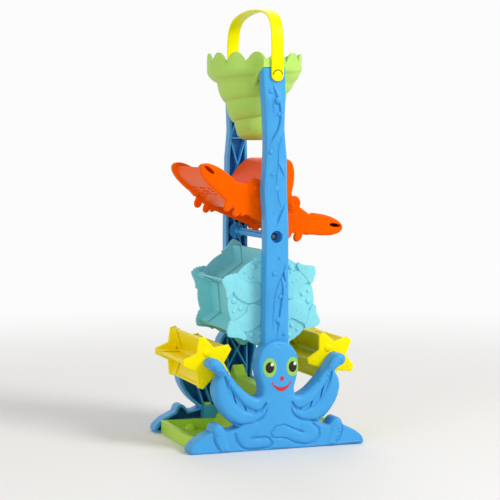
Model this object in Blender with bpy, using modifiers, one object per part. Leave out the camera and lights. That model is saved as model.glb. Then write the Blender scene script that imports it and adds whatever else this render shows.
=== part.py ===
"""A sand and water mill: two moulded towers carry a funnel, a tipping crab and three bucket wheels over a tray.

X runs along the feet, Y from the front tower to the rear tower and Z up. Lengths are metres.
The origin is on the ground in the middle of the feet.
"""

import math

import bmesh
import bpy
from mathutils import Matrix, Vector

# Fits shared by all pieces
GAP = 0.0003
WALL = 0.0024
RIB = 0.0014
CUT_SPARE = 0.0060
ROUND_STEPS = 16

# Axes of the moving pieces
WHEEL_HEIGHT = 0.1430
STAR_OFFSET = 0.0642
STAR_HEIGHT = 0.0850
AXLE_RADIUS = 0.0025
AXLE_REACH = 0.0592

# Towers
FOOT_LENGTH = 0.1810
FOOT_HEIGHT = 0.0205
OUTER_DEPTH = 0.0725
INNER_PLANE = 0.0520
COLUMN_FACE = 0.0650
SEAT_RISE = 0.0130
SEAT_DROP = 0.0050
SEAT_LIP = 0.0010
BASE_ROUND = 0.0040
COLUMN_ROUND = 0.0014
SHELF_HEIGHT = 0.0262
BAND_HALF = 0.0400
BOSS_RADIUS = 0.0060
BOSS_INSET = 0.0004
ARM_BOSS_RADIUS = 0.0048
RIB_INSET = 0.0008
RIB_SPREAD = 0.0320
RIB_RISE = 0.0626
RIB_TOP_DROP = 0.0140
SHELF_HALF = 0.0420
SPINE = 0.0105
SPINE_LEVELS = (SHELF_HEIGHT, 0.0640, 0.1010)
# Foot and head of the ribs that fan out behind the arms
ARM_RIBS = ((0.0200, (0.0262, 0.0512)), (0.0280, (0.0430, 0.0658)), (0.0370, (0.0532, 0.0790)))
COLUMN_FOOT = 0.0900
# Share of the column's height, left edge and right edge of its wavy sides
COLUMN_EDGES = [
    (0.0714, -0.0118, 0.0126), (0.2321, -0.0112, 0.0124), (0.4179, -0.0108, 0.0125),
    (0.5000, -0.0112, 0.0120), (0.5786, -0.0128, 0.0108), (0.6839, -0.0106, 0.0108),
    (0.7893, -0.0106, 0.0082), (0.9071, -0.0126, 0.0094),
]
COLUMN_TOP_EDGES = (-0.0140, 0.0084)

# Cross rod and its screws
ROD_SPAN = 0.0072
ROD_WEB = 0.0026
ROD_COLLAR = 0.0040
ROD_COLLAR_LENGTH = 0.0130
ROD_CLEARANCE = 0.0042
RECESS_RADIUS = 0.0060
RECESS_FLOOR = 0.0569
CUP_END = 0.0545
SCREW_RADIUS = 0.0016
SCREW_HEAD_RADIUS = 0.0036
SCREW_HEAD_HEIGHT = 0.0022
SCREW_LENGTH = 0.0110

# Carry handle
STRAP_WIDTH = 0.0120
STRAP_THICKNESS = 0.0024
HANDLE_RISE = 0.0670
HANDLE_DROP = 0.0070
STUD_RADIUS = 0.0025
STUD_HEAD_RADIUS = 0.0037
STUD_HEAD = 0.0014

# Funnel
FUNNEL_WAIST_RADIUS = 0.0380
WAIST_RISE = 0.0565
FUNNEL_FLARE = 0.35
FUNNEL_SLOPE = 0.43
FOOT_RISE = 0.0045
RIM_RISE = 0.0810
FUNNEL_ROUND = 0.0120
FUNNEL_OUTLET = 0.0062
FUNNEL_WALL = 0.0020
WHORL_PITCH = 0.0200
WHORL_START = math.radians(161)
NOTCH_RISE = 0.0175
WHORL_BULGE = 0.0026
ROWS_PER_WHORL = 3
SCALLOPS = 14
FUNNEL_COLUMNS = 3 * SCALLOPS
SCALLOP_HEIGHT = 0.0068
SCALLOP_FULLNESS = 0.6
LUG_RISE = 0.0086
LUG_REACH = 0.0300
GUSSET_DROP = 0.0220
GUSSET_REACH = 0.0240
GUSSET_EDGE = 0.0310
LUG_CAVITY_DROP = 0.0300
LUG_CORE_DROP = 0.0400

# Tipping crab
TILT = math.radians(23)
PIVOT_RISE = 0.0334
FUNNEL_CLEARANCE = 0.0151
CRAB_RISE = 0.0050
CRAB_FACE = 0.0480
CRAB_PLATE = 0.0024
CLAW_REACH = 0.0800
RIDGE_TOP = 0.0400
RIDGE_HALF = 0.0168
TRAY_WALL = 0.0020
SLOT_WIDTH = 0.0024
SLOT_LENGTH = 0.0220
SLOT_PITCH = 0.0280
SLOT_ROWS = (0.0465, 0.0510, 0.0555)
SCOOP_LIP = 0.0016

# Bucket wheels
WHEEL_FACE = 0.0506
WHEEL_RADIUS = 0.0450
TAIL_RADIUS = 0.0558
WHEEL_PADDLES = 6
# Degrees from the paddle and share of the tail's height
TAIL_SHAPE = ((-13, 0.0), (-9, 0.25), (-4.5, 0.72), (-1.5, 1.0), (2.5, 0.96), (8, 0.62), (14, 0.22), (18, 0.0))
WHEEL_HUB = 0.0085
# Corners of the drum, whose flat sides are the floors of the buckets
WHEEL_DRUM = 0.0318
WHEEL_PADDLE_REACH = 0.0500
STAR_HUB = 0.0054
STAR_PADDLE_REACH = 0.0252
WHEEL_TURN = math.radians(35)
STAR_FACE = 0.0490
STAR_RADIUS = 0.0262
STAR_NOTCH = 0.0154
STAR_PADDLES = 5
LEFT_STAR_TURN = math.radians(34.5)
RIGHT_STAR_TURN = math.radians(43)
PLATE = 0.0022
PADDLE = 0.0018
SOCKET = 0.0046
WHEEL_SOCKET_LENGTH = 0.0225
STAR_SOCKET_LENGTH = 0.0150

# Base tray
TRAY_LENGTH = 0.1676
TRAY_HEIGHT = 0.0130
TRAY_RIM = 0.0048
TRAY_FLOOR = 0.0024
TRAY_LIFT = 0.0003
TRAY_CORNER = 0.0015
CORNER_STEPS = 2
CREST_HEIGHT = 0.0560
CREST_END_HEIGHT = 0.0670
CREST_HALF = 0.0060
SPLITTER_HALF = 0.0440
FLANK_STEPS = 5
FLANK_CURVE = 2.2
FLARE_START = 0.72
SPLITTER_WALL = 0.0022
FLANK_INSET = 0.0035
CREST_INSET = 0.0013
TAB_OFFSET = 0.0332
TAB_WIDTH = 0.0060
TAB_RISE = 0.0290

# Heights of the stack, each from the piece below it
ROD_HEIGHT = WHEEL_HEIGHT + TAIL_RADIUS + ROD_CLEARANCE + ROD_COLLAR
TIPPER_HEIGHT = ROD_HEIGHT + PIVOT_RISE
FUNNEL_BOTTOM = TIPPER_HEIGHT + RIDGE_TOP + CRAB_RISE + FUNNEL_CLEARANCE
FUNNEL_FOOT = FUNNEL_BOTTOM + FOOT_RISE
FUNNEL_WAIST = FUNNEL_BOTTOM + WAIST_RISE
FUNNEL_RIM = FUNNEL_BOTTOM + RIM_RISE
WHORL_NOTCH = FUNNEL_BOTTOM + NOTCH_RISE
COLUMN_TOP = FUNNEL_WAIST + SEAT_RISE
LUG_TOP = COLUMN_TOP + LUG_RISE
HANDLE_HEIGHT = COLUMN_TOP - HANDLE_DROP
RIB_LEVELS = (
    WHEEL_HEIGHT - RIB_SPREAD, WHEEL_HEIGHT + RIB_SPREAD, TIPPER_HEIGHT, TIPPER_HEIGHT + RIB_RISE,
    COLUMN_TOP - RIB_TOP_DROP,
)

# Plastics: colour, roughness
BLUE = ("blue_plastic", (0.075, 0.41, 0.87), 0.38)
LIME = ("lime_plastic", (0.33, 0.55, 0.09), 0.42)
YELLOW = ("yellow_plastic", (1.0, 0.87, 0.0), 0.38)
ORANGE = ("orange_plastic", (1.0, 0.13, 0.0), 0.35)
AQUA = ("aqua_plastic", (0.24, 0.71, 0.78), 0.40)
WHITE = ("white_plastic", (0.80, 0.80, 0.78), 0.45)
STEEL = ("steel", (0.62, 0.63, 0.65), 0.30)

for leftover in list(bpy.data.objects):
    bpy.data.objects.remove(leftover)
mill = bpy.data.collections.new("sand_mill")
bpy.context.scene.collection.children.link(mill)
materials = {}


def plastic(finish):
    """The material of a finish, made once."""
    name, colour, roughness = finish
    if name not in materials:
        material = bpy.data.materials.new(name)
        material.use_nodes = True
        shader = material.node_tree.nodes["Principled BSDF"]
        shader.inputs["Base Color"].default_value = (*colour, 1)
        shader.inputs["Roughness"].default_value = roughness
        shader.inputs["Metallic"].default_value = 1.0 if finish is STEEL else 0.0
        materials[name] = material
    return materials[name]


def solid(name, shape):
    """A working object that holds a bmesh."""
    bmesh.ops.remove_doubles(shape, verts=shape.verts, dist=1e-6)
    bmesh.ops.recalc_face_normals(shape, faces=shape.faces)
    mesh = bpy.data.meshes.new(name)
    shape.to_mesh(mesh)
    shape.free()
    piece = bpy.data.objects.new(name, mesh)
    mill.objects.link(piece)
    return piece


def baked(piece):
    """The piece with its modifiers applied."""
    graph = bpy.context.evaluated_depsgraph_get()
    mesh = bpy.data.meshes.new_from_object(piece.evaluated_get(graph))
    piece.modifiers.clear()
    piece.data = mesh
    return piece


def combine(piece, tool, operation):
    """Joins a tool to the piece or cuts it away, and removes the tool."""
    change = piece.modifiers.new(operation, "BOOLEAN")
    change.operation = operation
    change.solver = "EXACT"
    change.object = tool
    baked(piece)
    bpy.data.objects.remove(tool)
    return piece


def join(piece, *tools):
    for tool in tools:
        combine(piece, tool, "UNION")
    return piece


def cut(piece, *tools):
    for tool in tools:
        combine(piece, tool, "DIFFERENCE")
    return piece


def finish(piece, name, look, smooth=math.radians(35)):
    """Names a finished piece, gives it its plastic and shades its round faces smooth."""
    piece.name = name
    piece.data.name = name
    piece.data.materials.clear()
    piece.data.materials.append(plastic(look))
    piece.data.shade_smooth()
    piece.data.set_sharp_from_angle(angle=smooth)
    return piece


def block(low, high):
    """A box between two corners."""
    shape = bmesh.new()
    bmesh.ops.create_cube(shape, size=1)
    size = Vector(high) - Vector(low)
    bmesh.ops.scale(shape, vec=size, verts=shape.verts)
    bmesh.ops.translate(shape, vec=Vector(low) + size / 2, verts=shape.verts)
    return solid("block", shape)


def round_bar(x, z, radius, start, end, steps=ROUND_STEPS):
    """A cylinder along Y from start to end, centred at x and z."""
    shape = bmesh.new()
    bmesh.ops.create_cone(
        shape, cap_ends=True, segments=steps, radius1=radius, radius2=radius, depth=abs(end - start)
    )
    bmesh.ops.rotate(shape, matrix=Matrix.Rotation(math.pi / 2, 3, "X"), verts=shape.verts)
    bmesh.ops.translate(shape, vec=(x, (start + end) / 2, z), verts=shape.verts)
    return solid("bar", shape)


def strip(start, end, thickness, near, far):
    """A rib from one (x, z) point to another, between two places along Y."""
    run = Vector((end[0] - start[0], 0, end[1] - start[1]))
    shape = bmesh.new()
    bmesh.ops.create_cube(shape, size=1)
    bmesh.ops.scale(shape, vec=(run.length, abs(far - near), thickness), verts=shape.verts)
    turn = Matrix.Rotation(-math.atan2(run.z, run.x), 3, "Y")
    bmesh.ops.rotate(shape, matrix=turn, verts=shape.verts)
    middle = Vector((start[0], 0, start[1])) + run / 2 + Vector((0, (near + far) / 2, 0))
    bmesh.ops.translate(shape, vec=middle, verts=shape.verts)
    return solid("rib", shape)


def outline(points, near, far, rounding=0.0, inset=0.0, steps=2):
    """A flat outline in X and Z, extruded along Y. A point is (x, z), or (x, z, "corner") where it is sharp."""
    curve = bpy.data.curves.new("outline", "CURVE")
    curve.dimensions = "2D"
    curve.fill_mode = "BOTH"
    curve.resolution_u = steps
    curve.extrude = abs(far - near) / 2 - rounding
    curve.bevel_depth = rounding
    curve.bevel_resolution = 1
    curve.offset = -rounding - inset
    spline = curve.splines.new("BEZIER")
    spline.bezier_points.add(len(points) - 1)
    spline.use_cyclic_u = True
    for knot, (x, z, *corner) in zip(spline.bezier_points, points):
        knot.co = (x, z, 0)
        knot.handle_left_type = knot.handle_right_type = "VECTOR" if corner else "AUTO"
    drawn = bpy.data.objects.new("outline", curve)
    mill.objects.link(drawn)
    graph = bpy.context.evaluated_depsgraph_get()
    mesh = bpy.data.meshes.new_from_object(drawn.evaluated_get(graph))
    bpy.data.objects.remove(drawn)
    shape = bmesh.new()
    shape.from_mesh(mesh)
    bmesh.ops.rotate(shape, matrix=Matrix.Rotation(math.pi / 2, 3, "X"), verts=shape.verts)
    bmesh.ops.translate(shape, vec=(0, (near + far) / 2, 0), verts=shape.verts)
    return solid("outline", shape)


def mirrored(half):
    """A whole outline from its right half, which runs from bottom to top."""
    left = [(-x, z, *corner) for x, z, *corner in reversed(half) if x > 0]
    return half + left


# Towers

def octopus_half():
    """Right half of the front view: foot, rolled bump, folded arm, raised arm and head."""
    end = FOOT_LENGTH / 2
    top = FOOT_HEIGHT
    return [
        (0, 0, "corner"), (end - 0.0030, 0, "corner"), (end, 0.0028), (end - 0.0055, 0.0112),
        (end - 0.0150, top - 0.0035), (end - 0.0225, top, "corner"), (end - 0.0246, 0.0258),
        (end - 0.0290, 0.0282), (end - 0.0335, 0.0256), (end - 0.0370, top + 0.0005),
        (0.0405, 0.0238, "corner"), (0.0510, 0.0325), (0.0592, 0.0435), (0.0640, 0.0560),
        (0.0630, 0.0670), (0.0588, 0.0738, "corner"), (0.0635, 0.0784), (0.0688, 0.0812),
        (0.0708, 0.0855), (0.0688, 0.0896), (0.0642, 0.0912), (0.0592, 0.0886), (0.0530, 0.0800),
        (0.0448, 0.0695), (0.0365, 0.0605), (0.0280, 0.0540), (0.0205, 0.0515), (0.0166, 0.0545),
        (0.0172, 0.0640), (0.0198, 0.0740), (0.0208, 0.0840), (0.0186, 0.0935), (0.0130, 0.1015),
        (0.0068, 0.1052), (0, 0.1060),
    ]


def column_rows():
    """Height, left edge and right edge along the column."""
    height = COLUMN_TOP - COLUMN_FOOT
    return [(COLUMN_FOOT + share * height, left, right) for share, left, right in COLUMN_EDGES]


def column_outline():
    rows = column_rows()
    right = [(edge, z) for z, _, edge in rows]
    left = [(edge, z) for z, edge, _ in reversed(rows)]
    foot = rows[0]
    top = [(COLUMN_TOP_EDGES[1], COLUMN_TOP, "corner"), (COLUMN_TOP_EDGES[0], COLUMN_TOP, "corner")]
    ends = [(foot[1], COLUMN_FOOT, "corner"), (foot[2], COLUMN_FOOT, "corner")]
    return [ends[1], *right, *top, *left, ends[0]]


def column_side(z, side):
    """The column's left (1) or right (2) edge at a height, to the middle of the wall."""
    rows = [(COLUMN_FOOT, *COLUMN_EDGES[0][1:]), *column_rows(), (COLUMN_TOP, *COLUMN_TOP_EDGES)]
    for low, high in zip(rows, rows[1:]):
        if low[0] <= z <= high[0]:
            share = (z - low[0]) / (high[0] - low[0])
            edge = low[side] + share * (high[side] - low[side])
            return edge - math.copysign(WALL / 2, edge)
    raise ValueError(z)


def tower():
    """One tower, open on its inner side, facing -Y. The rear tower is the same piece turned round."""
    base = mirrored(octopus_half())
    shell = outline(base, -OUTER_DEPTH, -INNER_PLANE + CUT_SPARE, BASE_ROUND)
    column = outline(column_outline(), -COLUMN_FACE, -INNER_PLANE + CUT_SPARE, COLUMN_ROUND)
    join(shell, column)
    reach = 2 * FOOT_LENGTH
    open_side = block((-reach, -INNER_PLANE, -CUT_SPARE), (reach, 0, COLUMN_TOP + CUT_SPARE))
    base_pocket = outline(base, -OUTER_DEPTH + WALL, -INNER_PLANE + CUT_SPARE, 0, WALL, 1)
    column_pocket = outline(column_outline(), -COLUMN_FACE + WALL, -INNER_PLANE + CUT_SPARE, 0, WALL)
    cut(shell, open_side, base_pocket, column_pocket)

    # Ribs stop short of the open side and run into the front wall
    near = -INNER_PLANE - RIB_INSET
    column_far = -COLUMN_FACE + WALL / 2
    for z in RIB_LEVELS:
        join(shell, strip((column_side(z, 1), z), (column_side(z, 2), z), RIB, near, column_far))
    for low, high in zip(RIB_LEVELS, RIB_LEVELS[1:]):
        for start, end in ((1, 2), (2, 1)):
            foot = (column_side(low, start), low)
            head = (column_side(high, end), high)
            join(shell, strip(foot, head, RIB, near, column_far))
    base_far = -OUTER_DEPTH + WALL / 2
    join(shell, strip((-SHELF_HALF, SHELF_HEIGHT), (SHELF_HALF, SHELF_HEIGHT), RIB, near, base_far))
    for side in (-1, 1):
        spine = side * SPINE
        join(shell, strip((spine, SPINE_LEVELS[0]), (spine, SPINE_LEVELS[-1]), RIB, near, base_far))
        for low, high in zip(SPINE_LEVELS, SPINE_LEVELS[1:]):
            join(shell, strip((-spine, low), (spine, high), RIB, near, base_far))
        for foot, (x, z) in ARM_RIBS:
            join(shell, strip((side * foot, SHELF_HEIGHT), (side * x, z), RIB, near, base_far))

    # The band that the tray hooks over
    low = (-BAND_HALF, -INNER_PLANE - WALL, WALL / 2)
    high = (BAND_HALF, -INNER_PLANE - BOSS_INSET, SHELF_HEIGHT)
    join(shell, block(low, high))

    # Axle bosses, the screw cup and the handle's hole
    hole = AXLE_RADIUS + GAP
    for x, z, face in (
        (0, WHEEL_HEIGHT, COLUMN_FACE), (0, TIPPER_HEIGHT, COLUMN_FACE),
        (-STAR_OFFSET, STAR_HEIGHT, OUTER_DEPTH), (STAR_OFFSET, STAR_HEIGHT, OUTER_DEPTH),
    ):
        radius = BOSS_RADIUS if x == 0 else ARM_BOSS_RADIUS
        join(shell, round_bar(x, z, radius, -face + WALL / 2, -INNER_PLANE - BOSS_INSET))
        cut(shell, round_bar(x, z, hole, -AXLE_REACH - GAP, 0))
    join(shell, round_bar(0, ROD_HEIGHT, RECESS_RADIUS + WALL, -COLUMN_FACE + WALL / 2, -CUP_END))
    cut(shell, round_bar(0, ROD_HEIGHT, RECESS_RADIUS, -OUTER_DEPTH, -RECESS_FLOOR))
    cut(shell, round_bar(0, ROD_HEIGHT, SCREW_RADIUS + GAP, -OUTER_DEPTH, 0))
    cut(shell, round_bar(0, ROD_HEIGHT, ROD_COLLAR + GAP, -CUP_END - GAP, 0))
    cut(shell, round_bar(0, HANDLE_HEIGHT, STUD_RADIUS + GAP, -OUTER_DEPTH, -COLUMN_FACE + 2 * WALL))

    # The top slopes down to the inner side, where the funnel's lug sits
    slope = math.atan2(SEAT_DROP, COLUMN_FACE - INNER_PLANE)
    seat = bmesh.new()
    bmesh.ops.create_cube(seat, size=FOOT_LENGTH)
    bmesh.ops.translate(seat, vec=(0, FOOT_LENGTH / 2, FOOT_LENGTH / 2), verts=seat.verts)
    bmesh.ops.rotate(seat, matrix=Matrix.Rotation(-slope, 3, "X"), verts=seat.verts)
    bmesh.ops.translate(seat, vec=(0, -COLUMN_FACE + SEAT_LIP, COLUMN_TOP), verts=seat.verts)
    cut(shell, solid("seat", seat))
    return shell


front_tower = finish(tower(), "front_tower", BLUE)
rear_tower = bpy.data.objects.new("rear_tower", front_tower.data)
rear_tower.rotation_euler.z = math.pi
mill.objects.link(rear_tower)


# Cross rod and the two screws that pull the towers together

def cross_rod():
    """A rod of plus section with a round collar at each end for its screw."""
    half = ROD_SPAN / 2
    web = ROD_WEB / 2
    corner = [(web, -half), (web, -web), (half, -web), (half, web)]
    section = []
    for turn in range(4):
        spin = Matrix.Rotation(turn * math.pi / 2, 2)
        section += [(*(spin @ Vector(point)), "corner") for point in corner[:3]]
    end = CUP_END
    rod = outline(section, -end + ROD_WEB, end - ROD_WEB, steps=1)
    for side in (-1, 1):
        inner = end - ROD_COLLAR_LENGTH
        join(rod, round_bar(0, 0, ROD_COLLAR, side * inner, side * end))
        cut(rod, round_bar(0, 0, SCREW_RADIUS + GAP, side * (inner + ROD_WEB), side * OUTER_DEPTH))
    return rod


def rod_screw():
    """A pan-head screw that lies in the front tower's recess."""
    seat = -RECESS_FLOOR - GAP
    screw = round_bar(0, 0, SCREW_HEAD_RADIUS, seat - SCREW_HEAD_HEIGHT, seat)
    shank = round_bar(0, 0, SCREW_RADIUS, seat - SCREW_HEAD_HEIGHT / 2, seat + SCREW_LENGTH)
    return join(screw, shank)


def place(piece, x, z, tilt=0.0):
    """Puts a piece that was made round its own axis on that axis."""
    piece.location = (x, 0, z)
    piece.rotation_euler = (0, tilt, 0)
    return piece


place(finish(cross_rod(), "cross_rod", BLUE), 0, ROD_HEIGHT)
front_screw = place(finish(rod_screw(), "rod_screw_front", STEEL), 0, ROD_HEIGHT)
rear_screw = bpy.data.objects.new("rod_screw_rear", front_screw.data)
rear_screw.rotation_euler.z = math.pi
rear_screw.location = front_screw.location
mill.objects.link(rear_screw)


# Carry handle

def sheet(points, near, far, thickness, steps=3):
    """A bent sheet: an open line in X and Z drawn out along Y, and thickened on its right-hand side."""
    curve = bpy.data.curves.new("line", "CURVE")
    curve.dimensions = "2D"
    curve.fill_mode = "NONE"
    curve.resolution_u = steps
    curve.extrude = abs(far - near) / 2
    spline = curve.splines.new("BEZIER")
    spline.bezier_points.add(len(points) - 1)
    for knot, (x, z, *corner) in zip(spline.bezier_points, points):
        knot.co = (x, z, 0)
        knot.handle_left_type = knot.handle_right_type = "VECTOR" if corner else "AUTO"
    drawn = bpy.data.objects.new("line", curve)
    mill.objects.link(drawn)
    graph = bpy.context.evaluated_depsgraph_get()
    mesh = bpy.data.meshes.new_from_object(drawn.evaluated_get(graph))
    bpy.data.objects.remove(drawn)
    shape = bmesh.new()
    shape.from_mesh(mesh)
    bmesh.ops.rotate(shape, matrix=Matrix.Rotation(math.pi / 2, 3, "X"), verts=shape.verts)
    bmesh.ops.translate(shape, vec=(0, (near + far) / 2, 0), verts=shape.verts)
    piece = solid("sheet", shape)
    wall = piece.modifiers.new("wall", "SOLIDIFY")
    wall.thickness = thickness
    wall.offset = -1
    wall.use_even_offset = True
    baked(piece)
    closed = bmesh.new()
    closed.from_mesh(piece.data)
    bmesh.ops.recalc_face_normals(closed, faces=closed.faces)
    closed.to_mesh(piece.data)
    closed.free()
    return piece


def turned(piece, angle):
    """Turns a working piece about the upright axis."""
    piece.data.transform(Matrix.Rotation(angle, 4, "Z"))
    return piece


def carry_handle():
    """A flat strap bent over the funnel, with a stud inside each leg that snaps into a tower."""
    outer = COLUMN_FACE + GAP + STRAP_THICKNESS
    foot = -STRAP_WIDTH / 2
    top = HANDLE_RISE
    half = [
        (outer, foot, "corner"), (outer, 0.0220), (outer - 0.0022, 0.0360), (outer - 0.0072, 0.0485),
        (outer - 0.0155, 0.0572), (outer - 0.0290, top - 0.0046), (outer - 0.0480, top - 0.0014), (0, top),
    ]
    path = half + [(-x, *rest) for x, *rest in reversed(half[:-1])]
    strap = sheet(path, -STRAP_WIDTH / 2, STRAP_WIDTH / 2, STRAP_THICKNESS)
    shape = bmesh.new()
    shape.from_mesh(strap.data)
    ends = [
        edge for edge in shape.edges
        if all(vert.co.z < foot + GAP for vert in edge.verts)
        and abs(edge.verts[0].co.y - edge.verts[1].co.y) < GAP
    ]
    bmesh.ops.bevel(
        shape, geom=ends, offset=0.98 * STRAP_WIDTH / 2, segments=6, profile=0.5, affect="EDGES", material=-1
    )
    strap.data.clear_geometry()
    shape.to_mesh(strap.data)
    shape.free()
    turned(strap, math.pi / 2)
    inside = COLUMN_FACE - WALL - GAP
    for side in (-1, 1):
        middle = outer - STRAP_THICKNESS / 2
        stud = round_bar(0, 0, STUD_RADIUS, side * middle, side * (inside - STUD_HEAD / 2))
        head = round_bar(0, 0, STUD_HEAD_RADIUS, side * inside, side * (inside - STUD_HEAD))
        join(strap, join(stud, head))
    return strap


place(finish(carry_handle(), "carry_handle", YELLOW), 0, HANDLE_HEIGHT)


# Funnel

def funnel_radius(z):
    """Radius of the valley between whorls."""
    slope = FUNNEL_FLARE if z > FUNNEL_WAIST else FUNNEL_SLOPE
    return FUNNEL_WAIST_RADIUS + slope * (z - FUNNEL_WAIST)


def funnel_shell():
    """A conical spiral: its whorls climb one pitch a turn, under a scalloped rim."""
    rows = ROWS_PER_WHORL * math.ceil((FUNNEL_RIM - FUNNEL_FOOT) / WHORL_PITCH + 2)
    shape = bmesh.new()
    bmesh.ops.create_grid(shape, x_segments=FUNNEL_COLUMNS, y_segments=rows, size=0.5)
    for vert in shape.verts:
        turn = vert.co.x + 0.5
        row = (vert.co.y + 0.5) * rows - 2 * ROWS_PER_WHORL
        height = WHORL_NOTCH + WHORL_PITCH * (row / ROWS_PER_WHORL + turn - WHORL_START / math.tau)
        z = min(max(height, FUNNEL_FOOT), FUNNEL_RIM)
        phase = (z - height + WHORL_PITCH * row / ROWS_PER_WHORL) / WHORL_PITCH % 1.0
        radius = funnel_radius(z) + 4 * WHORL_BULGE * phase * (1 - phase)
        angle = turn * math.tau
        vert.co = (radius * math.cos(angle), radius * math.sin(angle), z)
    bmesh.ops.remove_doubles(shape, verts=shape.verts, dist=1e-5)
    bmesh.ops.dissolve_degenerate(shape, edges=shape.edges, dist=1e-5)
    rim = [edge for edge in shape.edges if edge.is_boundary and edge.verts[0].co.z > FUNNEL_WAIST]
    raised = bmesh.ops.extrude_edge_only(shape, edges=rim)["geom"]
    for vert in [item for item in raised if isinstance(item, bmesh.types.BMVert)]:
        angle = math.atan2(vert.co.y, vert.co.x)
        lobe = abs(math.sin(SCALLOPS / 2 * angle)) ** SCALLOP_FULLNESS
        vert.co.z = FUNNEL_RIM + GAP + SCALLOP_HEIGHT * lobe
    lip = FUNNEL_OUTLET + FUNNEL_WALL
    for radius, z in ((FUNNEL_ROUND, FUNNEL_BOTTOM + FUNNEL_WALL / 2), (lip, FUNNEL_BOTTOM)):
        foot = [edge for edge in shape.edges if edge.is_boundary and edge.verts[0].co.z < FUNNEL_WAIST]
        lowered = bmesh.ops.extrude_edge_only(shape, edges=foot)["geom"]
        for vert in [item for item in lowered if isinstance(item, bmesh.types.BMVert)]:
            flat = Vector((vert.co.x, vert.co.y, 0)).normalized() * radius
            vert.co = (flat.x, flat.y, z)
    shell = solid("funnel", shape)
    wall = shell.modifiers.new("wall", "SOLIDIFY")
    wall.thickness = FUNNEL_WALL
    wall.offset = -1
    return baked(shell)


def funnel_lug():
    """The bracket that sits on the front tower's sloping top: a hood with side gussets down to the funnel."""
    face = -COLUMN_FACE
    seat = COLUMN_TOP + GAP
    inner = -INNER_PLANE + GAP
    profile = [
        (face, seat), (face, LUG_TOP), (-LUG_REACH, LUG_TOP), (-GUSSET_REACH, COLUMN_TOP - GUSSET_DROP),
        (-GUSSET_EDGE, COLUMN_TOP - GUSSET_DROP + RIB),
        (inner, seat - SEAT_DROP * (COLUMN_FACE - SEAT_LIP + inner) / (COLUMN_FACE - INNER_PLANE)),
        (face + SEAT_LIP, seat),
    ]
    left = COLUMN_TOP_EDGES[0] + GAP
    right = COLUMN_TOP_EDGES[1] - GAP
    hood = turned(outline([(*point, "corner") for point in profile], -right, -left, steps=1), math.pi / 2)
    hollow = [(x + FUNNEL_WALL, z - FUNNEL_WALL) for x, z in profile[:2]]
    hollow += [(x, z - FUNNEL_WALL) for x, z in profile[2:3]]
    floor = COLUMN_TOP - LUG_CAVITY_DROP
    hollow += [(-LUG_REACH, floor), (face + FUNNEL_WALL, floor)]
    cavity = turned(
        outline([(*point, "corner") for point in hollow], -right + FUNNEL_WALL, -left - FUNNEL_WALL, steps=1),
        math.pi / 2,
    )
    cut(hood, cavity)
    core = bmesh.new()
    low = COLUMN_TOP - LUG_CORE_DROP
    high = FUNNEL_RIM
    middle = FUNNEL_WALL / 2
    bmesh.ops.create_cone(
        core, cap_ends=True, segments=FUNNEL_COLUMNS, radius1=funnel_radius(low) - middle,
        radius2=funnel_radius(high) - middle, depth=high - low,
    )
    bmesh.ops.translate(core, vec=(0, 0, (low + high) / 2), verts=core.verts)
    return cut(hood, solid("core", core))


def funnel():
    shell = funnel_shell()
    return join(shell, funnel_lug(), turned(funnel_lug(), math.pi))


finish(funnel(), "funnel", LIME)


# Tipping crab

def crab_half():
    """Right half of the crab's plate round the pivot: belly, two legs, claw, eye and the ridge's end."""
    belly = -((TIPPER_HEIGHT - ROD_HEIGHT) * math.cos(TILT) - ROD_COLLAR - GAP) - CRAB_RISE
    points = [
        (0.0190, belly, "corner"), (0.0230, -0.0292), (0.0253, -0.0270, "corner"), (0.0256, -0.0300),
        (0.0288, -0.0325), (0.0320, -0.0300), (0.0324, -0.0250, "corner"), (0.0354, -0.0240, "corner"),
        (0.0358, -0.0286), (0.0392, -0.0312), (0.0426, -0.0288), (0.0434, -0.0212, "corner"),
        (0.0533, -0.0181), (0.0645, -0.0144), (0.0745, -0.0093), (CLAW_REACH - 0.0006, -0.0040),
        (CLAW_REACH, -0.0004), (0.0772, 0.0030), (0.0705, 0.0050), (0.0612, 0.0050), (0.0515, 0.0032),
        (0.0410, -0.0008, "corner"), (0.0297, 0.0018, "corner"), (0.0282, 0.0070), (0.0222, 0.0103),
        (0.0182, 0.0090), (RIDGE_HALF, 0.0105, "corner"), (0.0146, 0.0214), (0.0117, 0.0295),
        (0.0087, 0.0349), (0.0045, RIDGE_TOP - 0.0010), (0, RIDGE_TOP),
    ]
    return [(x, z + CRAB_RISE, *corner) for x, z, *corner in points]


def crab_plate():
    """The front plate of the crab, with the boss that turns against the tower."""
    plate = outline(mirrored(crab_half()), -CRAB_FACE, -CRAB_FACE + CRAB_PLATE)
    join(plate, round_bar(0, 0, BOSS_RADIUS, -CRAB_FACE + CRAB_PLATE / 2, -INNER_PLANE - BOSS_INSET + GAP))
    return cut(plate, round_bar(0, 0, AXLE_RADIUS + GAP, -INNER_PLANE - WALL, 0))


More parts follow.
